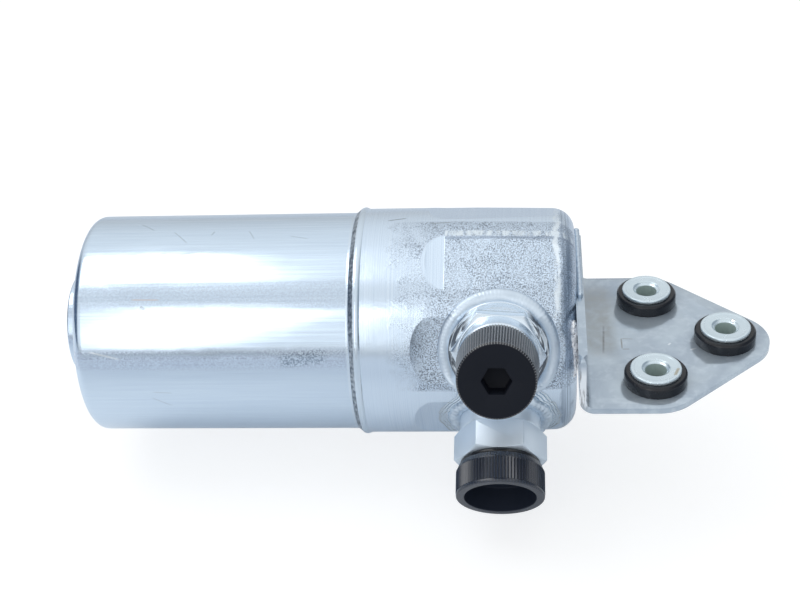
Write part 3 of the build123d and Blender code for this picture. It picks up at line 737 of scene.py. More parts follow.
outlet_metal = milled_aluminium("milled_aluminium_outlet", outlet_angle, 1.0, 0.2)
inlet_metal = milled_aluminium("milled_aluminium_inlet", inlet_angle, 0.75, 0.45)
print("milled finishes:", outlet_metal.name, inlet_metal.name)

# %% [markdown]
# ## Bracket, bushes and caps
# The bracket is satin sheet, the washers and sleeves are plated steel, the bushes are
# matt rubber and the caps are moulded plastic. The blacks are never pure black, so that their
# edges catch the light.
#
# The sheet is half bright and half dull, with a broad band of painted shade along the foot of the
# fold, faint drawn lines and two small painted glints on its top. Beside the front weld, the
# flange's edge carries a painted highlight, broken by dark streaks.

# %% Rolled sheet
stain_grey = (0.28, 0.28, 0.26)
painted_glint = (0.85, 0.90, 0.95)
sheet_marks = (
    # The first mark is painted shade along the foot of the fold; the two glint marks are painted
    # highlights.
    ((-50, 40), (-49, -14), 8.0, 0.55, (0.36, 0.38, 0.38)),
    ((-47.4, 10.2), (-48.3, -9.8), 0.5, 0.6, (0.22, 0.22, 0.22)),
    ((-40.8, 1.0), (-40.8, -6.6), 0.4, 0.6, stain_grey),
    ((-40.8, -6.6), (-37.7, -6.6), 0.4, 0.5, stain_grey),
    ((-40.8, 0.6), (-36.0, 0.2), 0.5, 0.35, (0.30, 0.30, 0.28)),
    ((-14.3, -7.5), (-11.5, -6.2), 0.5, 0.7, painted_glint),
    ((-22.6, -4.1), (-21.4, -2.6), 0.5, 0.7, painted_glint),
    ((-52.0, -40.0), (-10.0, -40.0), 2.2, 0.3, (0.72, 0.80, 0.87)),
)


def satin_sheet():
    """Rolled sheet: half bright, half dull, with stains, painted shade and glints, and a painted
    highlight beside the weld.
    """
    material, shader = new_finish("satin_sheet", (0.50, 0.57, 0.64), 0.55, 0.24)
    place = object_place(material)
    brushed = noise(material, place, (60, 1800, 1800), 3.0)
    cloud = noise(material, place, 45.0, 5.0, 0.8)
    mottle = noise(material, place, 260.0, 4.0, 0.4)
    smear = noise(material, place, (900, 900, 160), 3.0)
    bright_parts = spread(material, cloud, 0.35, 0.65)
    sheet = blend_colour(material, bright_parts, (0.42, 0.49, 0.57), (0.56, 0.64, 0.71))
    flecks = spread(material, mottle, 0.5, 0.75, 0.0, 0.45)
    sheet = blend_colour(material, flecks, sheet, (0.68, 0.76, 0.83))
    sheet = marked(material, sheet, place, sheet_marks, mottle, 2)

    x, y, z = split(material, place)
    # Beside the front weld, the flange's edge is painted near white as a highlight, broken by dark
    # streaks.
    by_weld = window(material, z, 12, 24, 5)
    at_edge = fade(material, y, -15, -19)
    on_flange = fade(material, x, -54, -56.2)
    weld_smear_and_highlight = times(material, by_weld, at_edge, on_flange)
    dark_parts = spread(material, smear, 0.5, 0.62)
    painted_highlights = blend_colour(material, dark_parts, (0.93, 0.96, 1.0), (0.42, 0.42, 0.43))
    feed(material, blend_colour(material, weld_smear_and_highlight, sheet, painted_highlights), shader, "Base Color")
    feed(material, spread(material, brushed, 0.3, 0.7, 0.12, 0.22), shader, "Roughness")
    bumps(material, shader, (brushed, 0.004), (times(material, smear, weld_smear_and_highlight), 0.3))
    return material


sheet_metal = satin_sheet()
print("sheet metal has", len(sheet_metal.node_tree.nodes), "nodes")

# %% [markdown]
# Plating is smooth and slightly warm. The sleeves' bores were never polished, so they are
# matt, and painted shade makes them a darker greenish grey. One washer has a brown stain, and the
# tip's sleeve a small nick with a painted highlight along the rim of its bore.

# %% Plating, rubber and plastic
def zinc_plate():
    material, shader = new_finish("zinc_plate", (0.70, 0.79, 0.84), 0.7, 0.22)
    place = object_place(material)
    _, _, height = split(material, place)
    cloud = noise(material, place, 300.0, 3.0)
    plate = blend_colour(material, cloud, (0.62, 0.72, 0.78), (0.74, 0.83, 0.88))
    # Painted shade inside the bores: below the flare they are coloured a darker greenish grey.
    in_bore = fade(material, height, 13.9, 13.6)
    brown = scratch(material, place, (-22.5, -32.5), (-20.6, -27.5), 0.8)
    # A short near-white mark along the rim of the tip's sleeve: a painted highlight over a small
    # dent.
    nick_and_highlight = scratch(material, place, (2.6, 4.6), (4.2, 3.4), 0.7)
    plate = blend_colour(material, times(material, brown, 0.6), plate, (0.36, 0.27, 0.12))
    plate = blend_colour(material, in_bore, plate, (0.36, 0.44, 0.42))
    plate = blend_colour(material, nick_and_highlight, plate, (0.98, 0.99, 1.0))
    feed(material, plate, shader, "Base Color")
    gloss = spread(material, cloud, 0.3, 0.7, 0.16, 0.3)
    gloss = math_step(material, "MULTIPLY_ADD", in_bore, 0.4, gloss)
    feed(material, gloss, shader, "Roughness")
    feed(material, spread(material, in_bore, 0.0, 1.0, 0.7, 0.0), shader, "Metallic")
    bumps(material, shader, (noise(material, place, 1500.0, 2.0), 0.006), (nick_and_highlight, 0.2))
    return material


def matt_rubber():
    material, shader = new_finish("matt_rubber", (0.004, 0.005, 0.009), 0.0, 0.28)
    place = object_place(material)
    bumps(material, shader, (noise(material, place, 2500.0, 2.0), 0.02))
    cloud = noise(material, place, 250.0, 3.0)
    feed(material, spread(material, cloud, 0.3, 0.7, 0.18, 0.34), shader, "Roughness")
    return material


def glossy_rubber():
    material, shader = new_finish("glossy_rubber", (0.012, 0.013, 0.016), 0.0, 0.18)
    bumps(material, shader, (noise(material, object_place(material), 400.0, 2.0), 0.02))
    return material


def cap_plastic(name, angle, tone, ridge_highlight):
    """Matt on the cap's face, glossier round it, and painted pale along the ridges as a highlight.
    """
    face_radius = 14.2
    material, shader = new_finish(name, tone, 0.0, 0.34)
    bumps(material, shader, (noise(material, object_place(material), 1800.0, 3.0), 0.015))
    turn, _, away = split(material, polar(material, seen_from_port(material, angle), 1 / MM))
    outside = fade(material, away, face_radius - 0.1, face_radius + 0.1)
    wave = math_step(material, "COSINE", times(material, turn, knurl_ridges))
    ridge = times(material, spread(material, wave, -0.72, -0.97), outside)
    # Painted highlight: the ridges' crests are coloured paler than the rest of the cap.
    pale = tuple(channel * 2.0 + ridge_highlight for channel in tone)
    feed(material, blend_colour(material, ridge, tone, pale), shader, "Base Color")
    feed(material, spread(material, outside, 0.0, 1.0, 0.12, 0.8), shader, "Specular IOR Level")
    feed(material, spread(material, outside, 0.0, 1.0, 0.5, 0.26), shader, "Roughness")
    return material


plating = zinc_plate()
bush_material = matt_rubber()
seal_material = glossy_rubber()
outlet_plastic = cap_plastic("cap_plastic_outlet", outlet_angle, (0.009, 0.011, 0.017), 0.24)
inlet_plastic = cap_plastic("cap_plastic_inlet", inlet_angle, (0.016, 0.021, 0.034), 0.0)
print("finishes made:", len(bpy.data.materials))

# %% [markdown]
# ## The can
# A drawn cup with a boss pressed out of its closed end. It is turned as a wall with an
# inner and an outer face, so that it is the cup that it is in the real object.

# %% Can
can = turned(
    "can",
    [
        (0, -265.8),
        (18.6, -265.8, 0.8),
        (18.6, -256.8, 3.5),
        (43.0, -256.8, 3.0),
        (43.0, -136.8),
        (45.0, -136.8),
        (45.0, -258.8, 4.4),
        (20.6, -258.8, 2.5),
        (20.6, -267.8, 0.8),
        (0, -267.8),
    ],
    steps=192,
)
placed(can, on_can())
finish_piece(can, 20, drawn_metal, "drier", "lower_can")

# %% [markdown]
# ## The upper shell
# It is turned first, outside and in, and then a disc cutter mills the flats that the ports
# sit on. The cutter leaves the metal in an arc, which meets the round shell in a D.

# %% Upper shell, turned
shell = turned(
    "shell",
    [
        (0, -64.8),
        (41.0, -64.8, 5.0),
        (41.0, -135.3),
        (45.05, -135.3),
        (45.05, -147.5),
        (46.6, -145.9, 0.4),
        (46.6, -98.8, 60.0),
        (45.5, -58.8, 9.0),
        (0, -58.8),
    ],
    steps=240,
)
placed(shell, on_can())

# %% Flats on the shell
shell_end_x = -58.8
cutter_radius = 19.0
cutter_width = 60
plain_flat_length = 51.5
port_flat_length = 56.5


def flat_cutter(angle, distance, length):
    """The space that a disc cutter sweeps, from the shell's end to the run-out."""
    far = shell_end_x - length - port_x
    top = shell_radius + 2
    rise = math.acos(1 - (top - distance) / cutter_radius)
    tool = draw_wire("flat_cutter", [(40, top), (40, distance), (far, distance)])
    pick(tool, lambda spot: abs(spot.x - far) < 0.001)
    bpy.ops.mesh.spin(
        steps=10,
        angle=-rise,
        center=Vector((far, 0, distance + cutter_radius)) * MM,
        axis=(0, 1, 0),
    )
    draw_out(cutter_width)
    return placed(tool, on_port(angle))


for angle, distance, length in (
    (110.0, plain_flat_distance, plain_flat_length),
    (64.5, plain_flat_distance, plain_flat_length),
    (outlet_angle, port_flat_distance, port_flat_length),
    (inlet_angle, port_flat_distance, port_flat_length),
):
    cut(shell, flat_cutter(angle, distance, length))
    print("flat at", angle, "degrees: the shell has", len(shell.data.polygons), "faces")

# %% Counterbore for the outlet fitting
counterbore = prism(128, 19.7, 6, (0, 0, 46.6))
cut(shell, placed(counterbore, on_port(outlet_angle)))
finish_piece(shell, 9, turned_metal, "drier", "upper_shell")

# %% [markdown]
# ## The seam weld
# Where the shell laps over the can, a weld closes the joint. It is a low bead turned like
# the rest, with a dull foot on the can and a bright crown on the shell. A bead that was
# laid on a turning can is even, so its ripples are left to the finish.

# %% Seam weld
seam = turned(
    "seam",
    [
        (45.0, -148.8),
        (45.0, -147.4),
        (46.6, -145.9),
        (46.6, -143.2),
        (46.72, -143.3, 0.5),
        (47.38, -144.6, 1.6),
        (46.95, -145.8, 0.8),
        (45.15, -147.9, 0.5),
        (45.0, -148.8),
    ],
    steps=240,
)
placed(seam, on_can())
finish_piece(seam, 35, seam_metal, "drier", "seam_weld")

# %% [markdown]
# ## Weld beads round the ports
# A weld by hand is a row of small frozen pools, each lapping over the one before. One pool
# is modelled as a flattened ball, copied along the saddle where the fitting meets the
# shell, and the row is melted into one skin by a voxel remesh. Many pools close together
# give the smooth ring of the upper port, and fewer, larger ones give the fish scales of
# the lower one.

# %% A row of pools, melted together
def pool(length, width, height):
    """One frozen pool: a ball with its crown pulled back along the row."""
    crown_from, pulled_back = 0.2, 0.16
    clear_selection()
    bpy.ops.mesh.primitive_uv_sphere_add(segments=16, ring_count=10, radius=MM / 2)
    ball = bpy.context.object
    ball.name = "pool"
    bpy.ops.object.mode_set(mode="EDIT")
    bpy.ops.transform.resize(value=(width, length, height))
    pick(ball, lambda spot: spot.z > height * crown_from)
    bpy.ops.transform.translate(value=(0, -length * pulled_back * MM, 0))
    bpy.ops.object.mode_set(mode="OBJECT")
    return ball


def melted(name, ball, places, voxel, rounds):
    """Copies a pool to each place, and melts the copies into one skin."""
    copies = [placed(copied(ball, name), place) for place in places]
    bpy.data.objects.remove(ball)
    bead = joined(copies)
    bead.name = name
    modified(bead, "REMESH", mode="VOXEL", voxel_size=voxel * MM)
    modified(bead, "SMOOTH", factor=0.5, iterations=rounds)
    print(name, "has", len(bead.data.polygons), "faces")
    return bead


def saddle_height(across):
    """How far the milled shell is from the can's axis, beside the middle of a port."""
    return min(port_flat_distance, math.sqrt(shell_radius**2 - across**2))


def saddle_row(count, radius, lift, side_lift, wander=0.0):
    """Places for pools round a port, each turned along the row and tilted with the shell."""
    places = []
    for step in range(count):
        turn = 2 * math.pi * step / count
        reach = radius + wander * math.sin(step * 2.4)
        across = reach * math.sin(turn)
        slope = math.atan2(saddle_height(across) - saddle_height(across * 1.04), across * 0.04 or 1)
        height = saddle_height(across) + lift + (side_lift - lift) * math.sin(turn) ** 2
        spot = Vector((reach * math.cos(turn), across, height)) * MM
        places.append(
            Matrix.Translation(spot)
            @ Matrix.Rotation(-slope * math.sin(turn) ** 2, 4, "X")
            @ Matrix.Rotation(turn, 4, "Z")
        )
    return places


# %% Weld rings of the two ports
outlet_row = saddle_row(96, 21.2, lift=-0.8, side_lift=0.4)
outlet_ring = melted("outlet_ring", pool(4.2, 6.0, 3.6), outlet_row, voxel=0.3, rounds=6)
placed(outlet_ring, on_port(outlet_angle))
finish_piece(outlet_ring, 180, weld_metal, "drier", "outlet_weld")

inlet_row = saddle_row(44, 18.0, lift=-0.2, side_lift=0.6, wander=0.25)
inlet_ring = melted("inlet_ring", pool(4.8, 6.0, 4.6), inlet_row, voxel=0.3, rounds=2)
placed(inlet_ring, on_port(inlet_angle))
finish_piece(inlet_ring, 180, weld_metal, "drier", "inlet_weld")

# %% [markdown]
# ## Screw threads
# The two ports and their caps have threads, which show when a cap is off. A thread is one
# triangle carried round and along the axis at once, which is what the Screw modifier does.
# Its ends are closed, and it is joined to the turned body that it stands on.

# %% Thread
pitch = 1.5
steps_a_turn = 56


def thread(name, root, crest, start, length):
    """A ridge of triangular section from a root radius to a crest radius."""
    half = pitch * 0.42
    ridge = draw_wire(
        name, [(root, start), (crest, start + half), (root, start + 2 * half), (root, start)]
    )
    merge_doubles()
    modified(
        ridge,
        "SCREW",
        screw_offset=pitch * MM,
        iterations=int(length / pitch) - 1,
        steps=steps_a_turn,
        render_steps=steps_a_turn,
    )
    bpy.ops.object.mode_set(mode="EDIT")
    merge_doubles()
    bpy.ops.mesh.fill_holes(sides=3)
    face_outwards()
    return ridge


# %% [markdown]
# ## Fittings
# Each fitting is a turned body with a hexagon on it. The hexagon starts as a drum of six
# sides. Its corners are taken off by a cone, as a lathe does it, by keeping only what the
# hexagon and a turned double cone share. A narrow bevel then softens its edges.

# %% Hexagon with turned corners
def hexagon(name, bottom, top, turn=0.0, both_ends=True):
    """A hexagon between two heights, with its corners turned off above, or at both ends."""
    corner, depth = 20.0, 2.0
    flat = hex_across_flats / 2 - 0.3
    middle = (0, 0, (top + bottom) / 2)
    drum = prism(6, hex_across_flats / math.sqrt(3), top - bottom, middle, 30 + turn)
    drum.name = name
    low = (flat, bottom) if both_ends else (corner, bottom)
    low_corner = (corner, bottom + depth) if both_ends else (corner, bottom + 0.01)
    cone = turned(
        "cone",
        [(0, bottom), low, low_corner, (corner, top - depth), (flat, top), (0, top)],
    )
    cut(drum, cone, "INTERSECT")
    soften(drum, 0.18, 24)
    return drum


# %% Outlet fitting
outlet_body = turned(
    "outlet_port",
    [
        (0, 38.0),
        (11.0, 38.0),
        (11.0, 43.6),
        (19.7, 43.6),
        (19.7, 45.3, 0.4),
        (17.6, 45.15, 1.0),
        (15.7, 45.3),
        (15.7, 61.5, 1.1),
        (12.3, 61.5),
        (12.3, 72.5, 0.8),
        (7.0, 72.5, 0.5),
        (7.0, 46.0),
        (0, 46.0),
    ],
)
outlet_port = joined(
    [
        outlet_body,
        hexagon("outlet_hexagon", 45.1, 51.5, turn=-4.0, both_ends=False),
        thread("outlet_thread", 12.25, 13.0, 62.6, 9.0),
    ]
)
placed(outlet_port, on_port(outlet_angle))
finish_piece(outlet_port, 28, outlet_metal, "drier", "outlet_fitting")

# %% Inlet fitting
inlet_body = turned(
    "inlet_port",
    [
        (0, 38.0),
        (11.0, 38.0),
        (11.0, 44.6),
        (16.0, 44.6),
        (16.0, 52.4, 1.0),
        (15.2, 52.4),
        (15.2, 64.9),
        (12.9, 64.95),
        (12.75, 64.2),
        (12.75, 50.0, 0.5),
        (7.0, 50.0),
        (7.0, 46.0),
        (0, 46.0),
    ],
)
inlet_hexagon = hexagon("inlet_hexagon", 52.2, 65.0)
cut(inlet_hexagon, prism(144, 12.95, 20, (0, 0, 60)))
inlet_port = joined([inlet_body, inlet_hexagon, thread("inlet_thread", 12.8, 12.1, 51.5, 12.6)])
placed(inlet_port, on_port(inlet_angle))
finish_piece(inlet_port, 28, inlet_metal, "drier", "inlet_fitting")

# %% [markdown]
# ## Caps
# The caps are moulded, with a straight knurl of 88 ridges for the fingers. A circle of twice
# as many corners has every second corner pulled in, and is drawn up into a drum. The rest
# of the cap is a turned cup that the drum sits on.

# %% Knurled drum
knurl_depth = 0.45


def knurled_drum(name, bottom, top, radius, top_radius, bore):
    """A knurled drum between two heights, narrower at its top, with a bore through it."""
    clear_selection()
    bpy.ops.mesh.primitive_circle_add(
        vertices=2 * knurl_ridges, radius=radius * MM, location=(0, 0, bottom * MM)
    )
    drum = bpy.context.object
    drum.name = name
    bpy.ops.object.transform_apply(location=True, rotation=True, scale=True)
    step = math.pi / knurl_ridges
    pick(drum, lambda spot: round(math.atan2(spot.y, spot.x) / step) % 2 == 0)
    valley = (radius - knurl_depth) / radius
    bpy.ops.transform.resize(value=(valley, valley, 1), center_override=(0, 0, bottom * MM))
    bpy.ops.mesh.select_all(action="SELECT")
    bpy.ops.mesh.edge_face_add()
    bpy.ops.mesh.extrude_region_move(
        TRANSFORM_OT_translate={"value": (0, 0, (top - bottom) * MM)}
    )
    draft = top_radius / radius
    bpy.ops.transform.resize(value=(draft, draft, 1), center_override=(0, 0, top * MM))
    face_outwards()
    cut(drum, prism(96, bore, 60, (0, 0, (top + bottom) / 2)))
    return drum


# %% Outlet cap, with a hexagon socket
outlet_cup = turned(
    "outlet_cap_piece",
    [
        (0, 83.5),
        (14.85, 83.5, 1.0),
        (14.85, 82.05, 0.2),
        (14.2, 81.95),
        (15.0, 63.0),
        (13.75, 63.0, 0.3),
        (13.75, 73.3),
        (0, 73.3),
    ],
)
socket_across_flats = 10.0
cut(outlet_cup, prism(6, socket_across_flats / math.sqrt(3), 15.6, (0, 0, 83.5), 30))
soften(outlet_cup, 0.25, 55)
outlet_cap = joined(
    [
        outlet_cup,
        knurled_drum("outlet_knurl", 63.0, 82.0, 15.8, 14.87, 14.0),
        thread("outlet_cap_thread", 13.8, 13.15, 63.8, 7.5),
    ]
)
placed(outlet_cap, on_port(outlet_angle))
finish_piece(outlet_cap, 28, outlet_plastic, "outlet_cap_body", "outlet_cap")

# %% Inlet cap, a hollow plug
inlet_plug = turned(
    "inlet_cap_piece",
    [
        (0, 54.0),
        (11.3, 54.0, 0.8),
        (11.3, 66.8),
        (16.4, 66.8, 0.4),
        (17.2, 69.1, 0.5),
        (16.95, 69.4),
        (16.95, 78.1),
        (17.35, 78.3, 0.2),
        (17.45, 79.7, 0.7),
        (14.1, 79.7, 0.35),
        (14.1, 69.5, 0.6),
        (8.5, 69.5, 0.3),
        (8.5, 56.5, 0.5),
        (0, 56.5),
    ],
)
inlet_cap = joined(
    [
        inlet_plug,
        knurled_drum("inlet_knurl", 69.3, 78.25, 17.5, 17.5, 16.0),
        thread("inlet_cap_thread", 11.25, 12.0, 54.9, 12.0),
    ]
)
placed(inlet_cap, on_port(inlet_angle))
finish_piece(inlet_cap, 28, inlet_plastic, "inlet_cap_body", "inlet_cap")

# %% [markdown]
# ## Seals
# A flat ring lies under each cap. Rubber that is pressed bulges, so its rims are round.

# %% Seals
outlet_ring_seal = turned(
    "outlet_ring_seal",
    [(13.1, 61.5), (15.1, 61.5, 0.6), (15.1, 63.0, 0.6), (13.1, 63.0), (13.1, 61.5)],
    steps=96,
)
placed(outlet_ring_seal, on_port(outlet_angle))
finish_piece(outlet_ring_seal, 60, seal_material, "drier", "outlet_seal")

inlet_ring_seal = turned(
    "inlet_ring_seal",
    [(12.1, 65.0), (15.9, 65.0, 0.8), (15.9, 66.8, 0.8), (12.1, 66.8), (12.1, 65.0)],
    steps=96,
)
placed(inlet_ring_seal, on_port(inlet_angle))
finish_piece(inlet_ring_seal, 60, seal_material, "inlet_cap_body", "inlet_seal")

# %% [markdown]
# ## The bracket
# One piece of sheet, 2.5 mm thick, folded up against the shell's end. Its fold is drawn from
# the side and drawn out to the full width, and its outline is what it shares with a hull
# round the three bushes. Sheet that was blanked in a press has one soft edge and one
# crisp one, and here all the edges get the same small bevel.

# %% Bracket
flange_width = 89.6
flange_top = 32.2
near_top = flange_top - 0.1
lobe_radius = 17.5
fold = draw_wire(
    "bracket_sheet",
    [
        (lobe_radius, 6.3),
        (shell_end_x, 6.3, 6.0),
        (shell_end_x, flange_top),
        (-56.3, flange_top),
        (-56.3, 8.8, 3.5),
        (lobe_radius, 8.8),
        (lobe_radius, 6.3),
    ],
)
draw_out(flange_width)
corners = pick(fold, lambda spot: spot.z > near_top)
bpy.ops.object.mode_set(mode="OBJECT")
for edge in fold.data.edges:
    ends = [fold.data.vertices[place].co / MM for place in edge.vertices]
    across_sheet = abs(ends[0].y - ends[1].y) < 0.1
    edge.select = across_sheet and all(end.z > near_top for end in ends)
bpy.ops.object.mode_set(mode="EDIT")
bpy.ops.mesh.select_mode(type="EDGE")
bpy.ops.mesh.bevel(offset=3.0 * MM, segments=8, affect="EDGES")
bpy.ops.object.mode_set(mode="OBJECT")
print("bracket fold has", len(fold.data.polygons), "faces,", corners, "corners at its top")

# %% Outline and holes of the bracket
clear_selection()
bpy.ops.mesh.primitive_cube_add(size=MM, location=(-52 * MM, 0, 18 * MM))
hull = bpy.context.object
bpy.ops.object.mode_set(mode="EDIT")
bpy.ops.transform.resize(value=(26, flange_width, 60))
for x, y in bush_places.values():
    bpy.ops.mesh.primitive_cylinder_add(
        vertices=128,
        radius=lobe_radius * MM,
        depth=60 * MM,
        location=(x * MM, y * MM, 18 * MM),
    )
bpy.ops.mesh.select_all(action="SELECT")
bpy.ops.mesh.convex_hull()
bpy.ops.object.mode_set(mode="OBJECT")
placed(hull, hull.matrix_world.copy())
cut(fold, hull, "INTERSECT")
for x, y in bush_places.values():
    cut(fold, prism(96, 9.05, 10, (x, y, 7.5)))
soften(fold, 0.3, 50)
finish_piece(fold, 25, sheet_metal, "drier", "bracket")

# %% [markdown]
# ## Bracket welds
# A row of small pools lies along the flange's top edge. At the front, where the shell's
# round shoulder leaves a groove, the weld was filled in from above, rough and spattered.

# %% Bracket welds
top_places = []
for step in range(37):
    spot = (-57.6, -3.4 + 1.32 * step, 32.9 + 0.15 * math.sin(step * 2.1))
    top_places.append(Matrix.Translation(Vector(spot) * MM))
top_bead = melted("top_bead", pool(3.4, 2.6, 3.2), top_places, voxel=0.25, rounds=2)
finish_piece(top_bead, 180, weld_metal, "drier", "bracket_weld_top")

front_count = 26
lying = Matrix.Rotation(math.pi / 2, 4, "X")
front_places = []
for step in range(front_count):
    fall = step / (front_count - 1)
    spot = (
        -60.2 + 0.4 * math.sin(step * 1.9),
        -16.4 - 2.6 * fall + 0.5 * math.sin(step * 2.7),
        27.5 - 20.0 * fall,
    )
    front_places.append(Matrix.Translation(Vector(spot) * MM) @ lying)
front_bead = melted("front_bead", pool(4.0, 2.4, 4.2), front_places, voxel=0.25, rounds=1)
finish_piece(front_bead, 180, rough_weld, "drier", "bracket_weld_front")

# %% [markdown]
# ## Bushes
# Three equal bushes hold the bracket. Each is a rubber grommet between a washer and the
# flange of a steel sleeve. One of each is turned, and copied to its three places, each
# copy with its own mesh. The mould left a fine line down the rubber's front.

# %% Sleeve, rubber and washer
sleeve = turned(
    "sleeve",
    [
        (4.1, 0),
        (5.3, 0),
        (5.3, 13.6),
        (9.85, 13.6, 0.3),
        (9.85, 15.1, 0.6),
        (8.5, 15.1, 0.3),
        (8.2, 14.94, 0.3),
        (5.5, 14.94, 0.4),
        (4.9, 14.3, 0.5),
        (4.1, 13.8, 0.4),
        (4.1, 0),
    ],
    steps=96,
)
washer = turned(
    "washer",
    [(5.35, 0), (9.85, 0, 0.5), (9.85, 1.5, 0.3), (5.35, 1.5), (5.35, 0)],
    steps=96,
)
rubber = turned(
    "rubber",
    [
        (5.35, 1.5),
        (11.3, 1.5, 0.3),
        (12.05, 2.3, 0.4),
        (12.05, 6.3, 0.15),
        (9.0, 6.3),
        (9.0, 8.8),
        (12.05, 8.8, 0.15),
        (12.05, 12.8, 0.4),
        (11.3, 13.6, 0.3),
        (5.35, 13.6),
        (5.35, 1.5),
    ],
    steps=240,
)


def mould_line(centre, normal):
    return abs(centre.x) < 0.17 and centre.y < -11 and abs(normal.z) < 0.3


print("mould line faces:", pick(rubber, mould_line, "FACE"))
bpy.ops.mesh.extrude_region_move(TRANSFORM_OT_translate={"value": (0, -0.12 * MM, 0)})
bpy.ops.object.mode_set(mode="OBJECT")

# %% Three of each
for place in bush_places:
    for original, finish, slot, node in (
        (sleeve, plating, "plated_steel", "bush_sleeve_"),
        (washer, plating, "plated_steel", "bush_washer_"),
        (rubber, bush_material, "bush_rubber", "bush_rubber_"),
    ):
        copy = placed(copied(original, original.name + "_" + place), on_bush(place))
        finish_piece(copy, 30, finish, "drier", node + place)
for original in (sleeve, washer, rubber):
    bpy.data.objects.remove(original)

# %% [markdown]
# ## What is inside
# Nobody sees these pieces until the can is cut open, so they keep their CAD meshes. They
# still get true finishes: a drawn tube, galvanised discs and spring, grey felt, a bed of
# small beads, and a strainer of nylon with a fine mesh.

# %% Finishes of the inner pieces
def dress_node(name, material):
    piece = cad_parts[name]
    piece.data.materials.clear()
    piece.data.materials.append(material)
    print(name, "now wears", material.name)


def felt_finish():
    material, shader = new_finish("felt", (0.62, 0.60, 0.56), 0.0, 0.95)
    shader.inputs["Sheen Weight"].default_value = 0.4
    fibres = noise(material, object_place(material), 1800.0, 6.0, 1.2)
    wool = blend_colour(material, fibres, (0.50, 0.48, 0.44), (0.74, 0.72, 0.68))
    feed(material, wool, shader, "Base Color")
    bumps(material, shader, (fibres, 0.3))
    return material


def bead_finish():
    material, shader = new_finish("desiccant_beads", (0.72, 0.62, 0.48), 0.0, 0.75)
    links = [("Vector", object_place(material))]
    cells = wire_up(material, "TexVoronoi", values=[("Scale", 520.0)], links=links)
    depth = cells.outputs["Distance"]
    # Painted shade between the beads: each is coloured darker towards its rim, where it meets the
    # next.
    beads_with_painted_shade = blend_colour(material, depth, (0.78, 0.68, 0.53), (0.50, 0.42, 0.32))
    feed(material, beads_with_painted_shade, shader, "Base Color")
    bumps(material, shader, (math_step(material, "SUBTRACT", 1.0, depth), 0.9))
    return material


def mesh_finish():
    material, shader = new_finish("strainer_mesh", (0.62, 0.64, 0.66), 0.8, 0.4)
    values, links = [("Scale", 900.0)], [("Vector", object_place(material))]
    weave = [
        wire_up(material, "TexWave", values, links, bands_direction=way).outputs["Fac"]
        for way in ("X", "DIAGONAL")
    ]
    bumps(material, shader, (times(material, *weave), 0.1))
    return material


def nylon_finish():
    material, shader = new_finish("nylon", (0.86, 0.86, 0.82), 0.0, 0.4)
    bumps(material, shader, (noise(material, object_place(material), 900.0, 2.0), 0.02))
    return material


felt = felt_finish()
inner_finishes = {
    "dip_tube": drawn_metal,
    "strainer_cage": nylon_finish(),
    "strainer_mesh": mesh_finish(),
    "desiccant_bed": bead_finish(),
    "filter_pad_top": felt,
    "filter_pad_bottom": felt,
    "retainer_plate_top": plating,
    "retainer_plate_bottom": plating,
    "retainer_spring": plating,
}
for name, finish in inner_finishes.items():
    dress_node(name, finish)

# %% [markdown]
# ## Floor and light
# The floor is pale and plain and keeps the object's shadow. It lies 9 mm below the object,
# so that the lower cap still clears it when it is unscrewed. The world is a soft tent: white
# for the camera, and in reflections a pale sky that is darkest at its rim, as round a
# photographer's table. Both ends of the tent are dark, so that faces turned along the can
# differ from its wall. Two softboxes at the left give the two white bands along the can.

# %% Floor
floor_height = -54.5


def pale_floor():
    """White to the camera where no shadow falls, and duller far off in reflections."""
    pale = (0.93, 0.94, 0.95)
    material, shader = new_finish("pale_floor", pale, 0.0, 0.9)
    rays = wire_up(material, "LightPath")
    _, aside, _ = split(material, object_place(material))
    beside = math_step(material, "SUBTRACT", aside, can_axis_y * MM)
    duller = fade(material, math_step(material, "ABSOLUTE", beside), 50, 200)
    in_metal = times(material, duller, rays.outputs["Is Glossy Ray"])
    colour = blend_colour(material, in_metal, pale, (0.68, 0.71, 0.75))
    feed(material, colour, shader, "Base Color")
    white = wire_up(material, "Emission", values=[("Color", (1, 1, 1, 1)), ("Strength", 1.22)])
    share = times(material, rays.outputs["Is Camera Ray"], 0.6)
    links = [(0, share), (1, shader.outputs[0]), (2, white.outputs[0])]
    mix = wire_up(material, "MixShader", links=links)
    feed(material, mix.outputs[0], material.node_tree.nodes["Material Output"], "Surface")
    return material


clear_selection()
bpy.ops.mesh.primitive_plane_add(size=6.0, location=(-0.12, 0.3, floor_height * MM))
floor = bpy.context.object
floor.name = "floor"
bpy.ops.object.transform_apply(location=True, rotation=True, scale=True)
floor.data.materials.append(pale_floor())
print("floor at", round(floor.data.vertices[0].co.z, 4))

# %% World
world = bpy.data.worlds.new("tent")
bpy.context.scene.world = world
world.use_nodes = True
sky = world.node_tree.nodes["Background"]
x, y, z = split(world, wire_up(world, "TexCoord").outputs["Generated"])
angle = math_step(world, "ARCTAN2", z, times(world, y, -1.0))
ramp = wire_up(world, "ValToRGB", links=[(0, spread(world, angle, -math.pi, math.pi))])
tent = (
    (-180, 0.62),
    (-90, 0.75),
    (-8, 0.48),
    (1, 0.52),
    (7, 0.82),
    (14, 1.0),
    (49, 0.98),
    (57, 0.84),
    (67, 0.88),
    (78, 1.02),
    (105, 1.02),
    (118, 0.95),
    (146, 0.84),
    (162, 0.72),
    (180, 0.60),
)
stops = ramp.color_ramp.elements
while len(stops) < len(tent):
    stops.new(0.5)
for stop, (turn, level) in zip(stops, tent):
    stop.position = turn / 360 + 0.5
    stop.color = (level * 0.97, level, level * 1.02, 1)
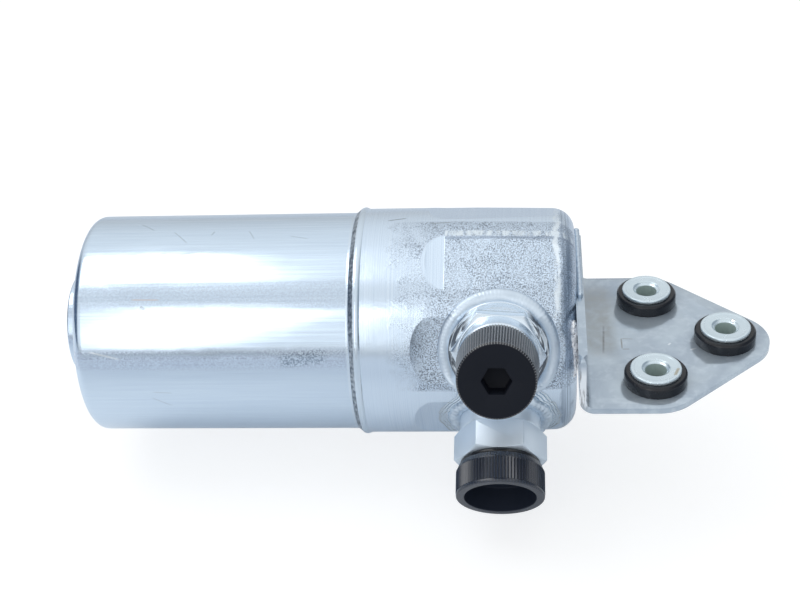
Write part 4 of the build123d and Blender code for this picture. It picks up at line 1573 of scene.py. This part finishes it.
right_end = spread(world, x, 0.52, 0.80)
seen = blend_colour(world, right_end, ramp.outputs[0], (0.24, 0.29, 0.35))
left_end = spread(world, x, -0.74, -0.86)
seen = blend_colour(world, left_end, seen, (0.10, 0.14, 0.21))
is_camera = wire_up(world, "LightPath").outputs["Is Camera Ray"]
feed(world, blend_colour(world, is_camera, seen, (1.0, 1.0, 1.0)), sky, "Color")
print("tent has", len(tent), "levels round the can")

# %% [markdown]
# A white band on the can is the lamp itself, drawn out by the round metal. So each lamp's
# face is shaded where its band ends: slantwise across it, and on the front one also near
# one side and at the top.

# %% Softboxes
def softbox(name, centre, size, aim, power):
    """A rectangular lamp. Returns it with the two places across its face, 0 to 1 each."""
    lamp = bpy.data.lights.new(name, "AREA")
    lamp.shape = "RECTANGLE"
    lamp.size = size[0]
    lamp.size_y = size[1]
    lamp.energy = power
    lamp.use_nodes = True
    box = bpy.data.objects.new(name, lamp)
    box.location = centre
    box.rotation_euler = (Vector(aim) - Vector(centre)).to_track_quat("-Z", "Y").to_euler()
    bpy.context.scene.collection.objects.link(box)
    print(name, "shines at", round(power / (math.pi * size[0] * size[1]), 2))
    across, up, _ = split(lamp, wire_up(lamp, "NewGeometry").outputs["Parametric"])
    return lamp, across, up


def shaded(lamp, share):
    feed(lamp, share, lamp.node_tree.nodes["Emission"], "Strength")


overhead, across, up = softbox(
    "overhead_box", (-0.66, 0.07, 0.9), (0.66, 0.54), (-0.66, 0.07, 0.0), 1.75
)
slanting = math_step(overhead, "MULTIPLY_ADD", up, 0.09, across)
shaded(overhead, spread(overhead, slanting, 0.995, 0.955))

front, across, up = softbox(
    "front_box", (-0.75, -0.85, 0.55), (0.8, 0.95), (-0.25, 0.0, 0.0), 3.3
)
slanting = math_step(front, "MULTIPLY_ADD", up, 0.2, across)
lit = spread(front, slanting, 0.74, 0.78)
dimmer = spread(front, across, 0.86, 0.94, 1.0, 0.75)
below_top = spread(front, up, 0.94, 0.92)
shaded(front, times(front, lit, dimmer, below_top))
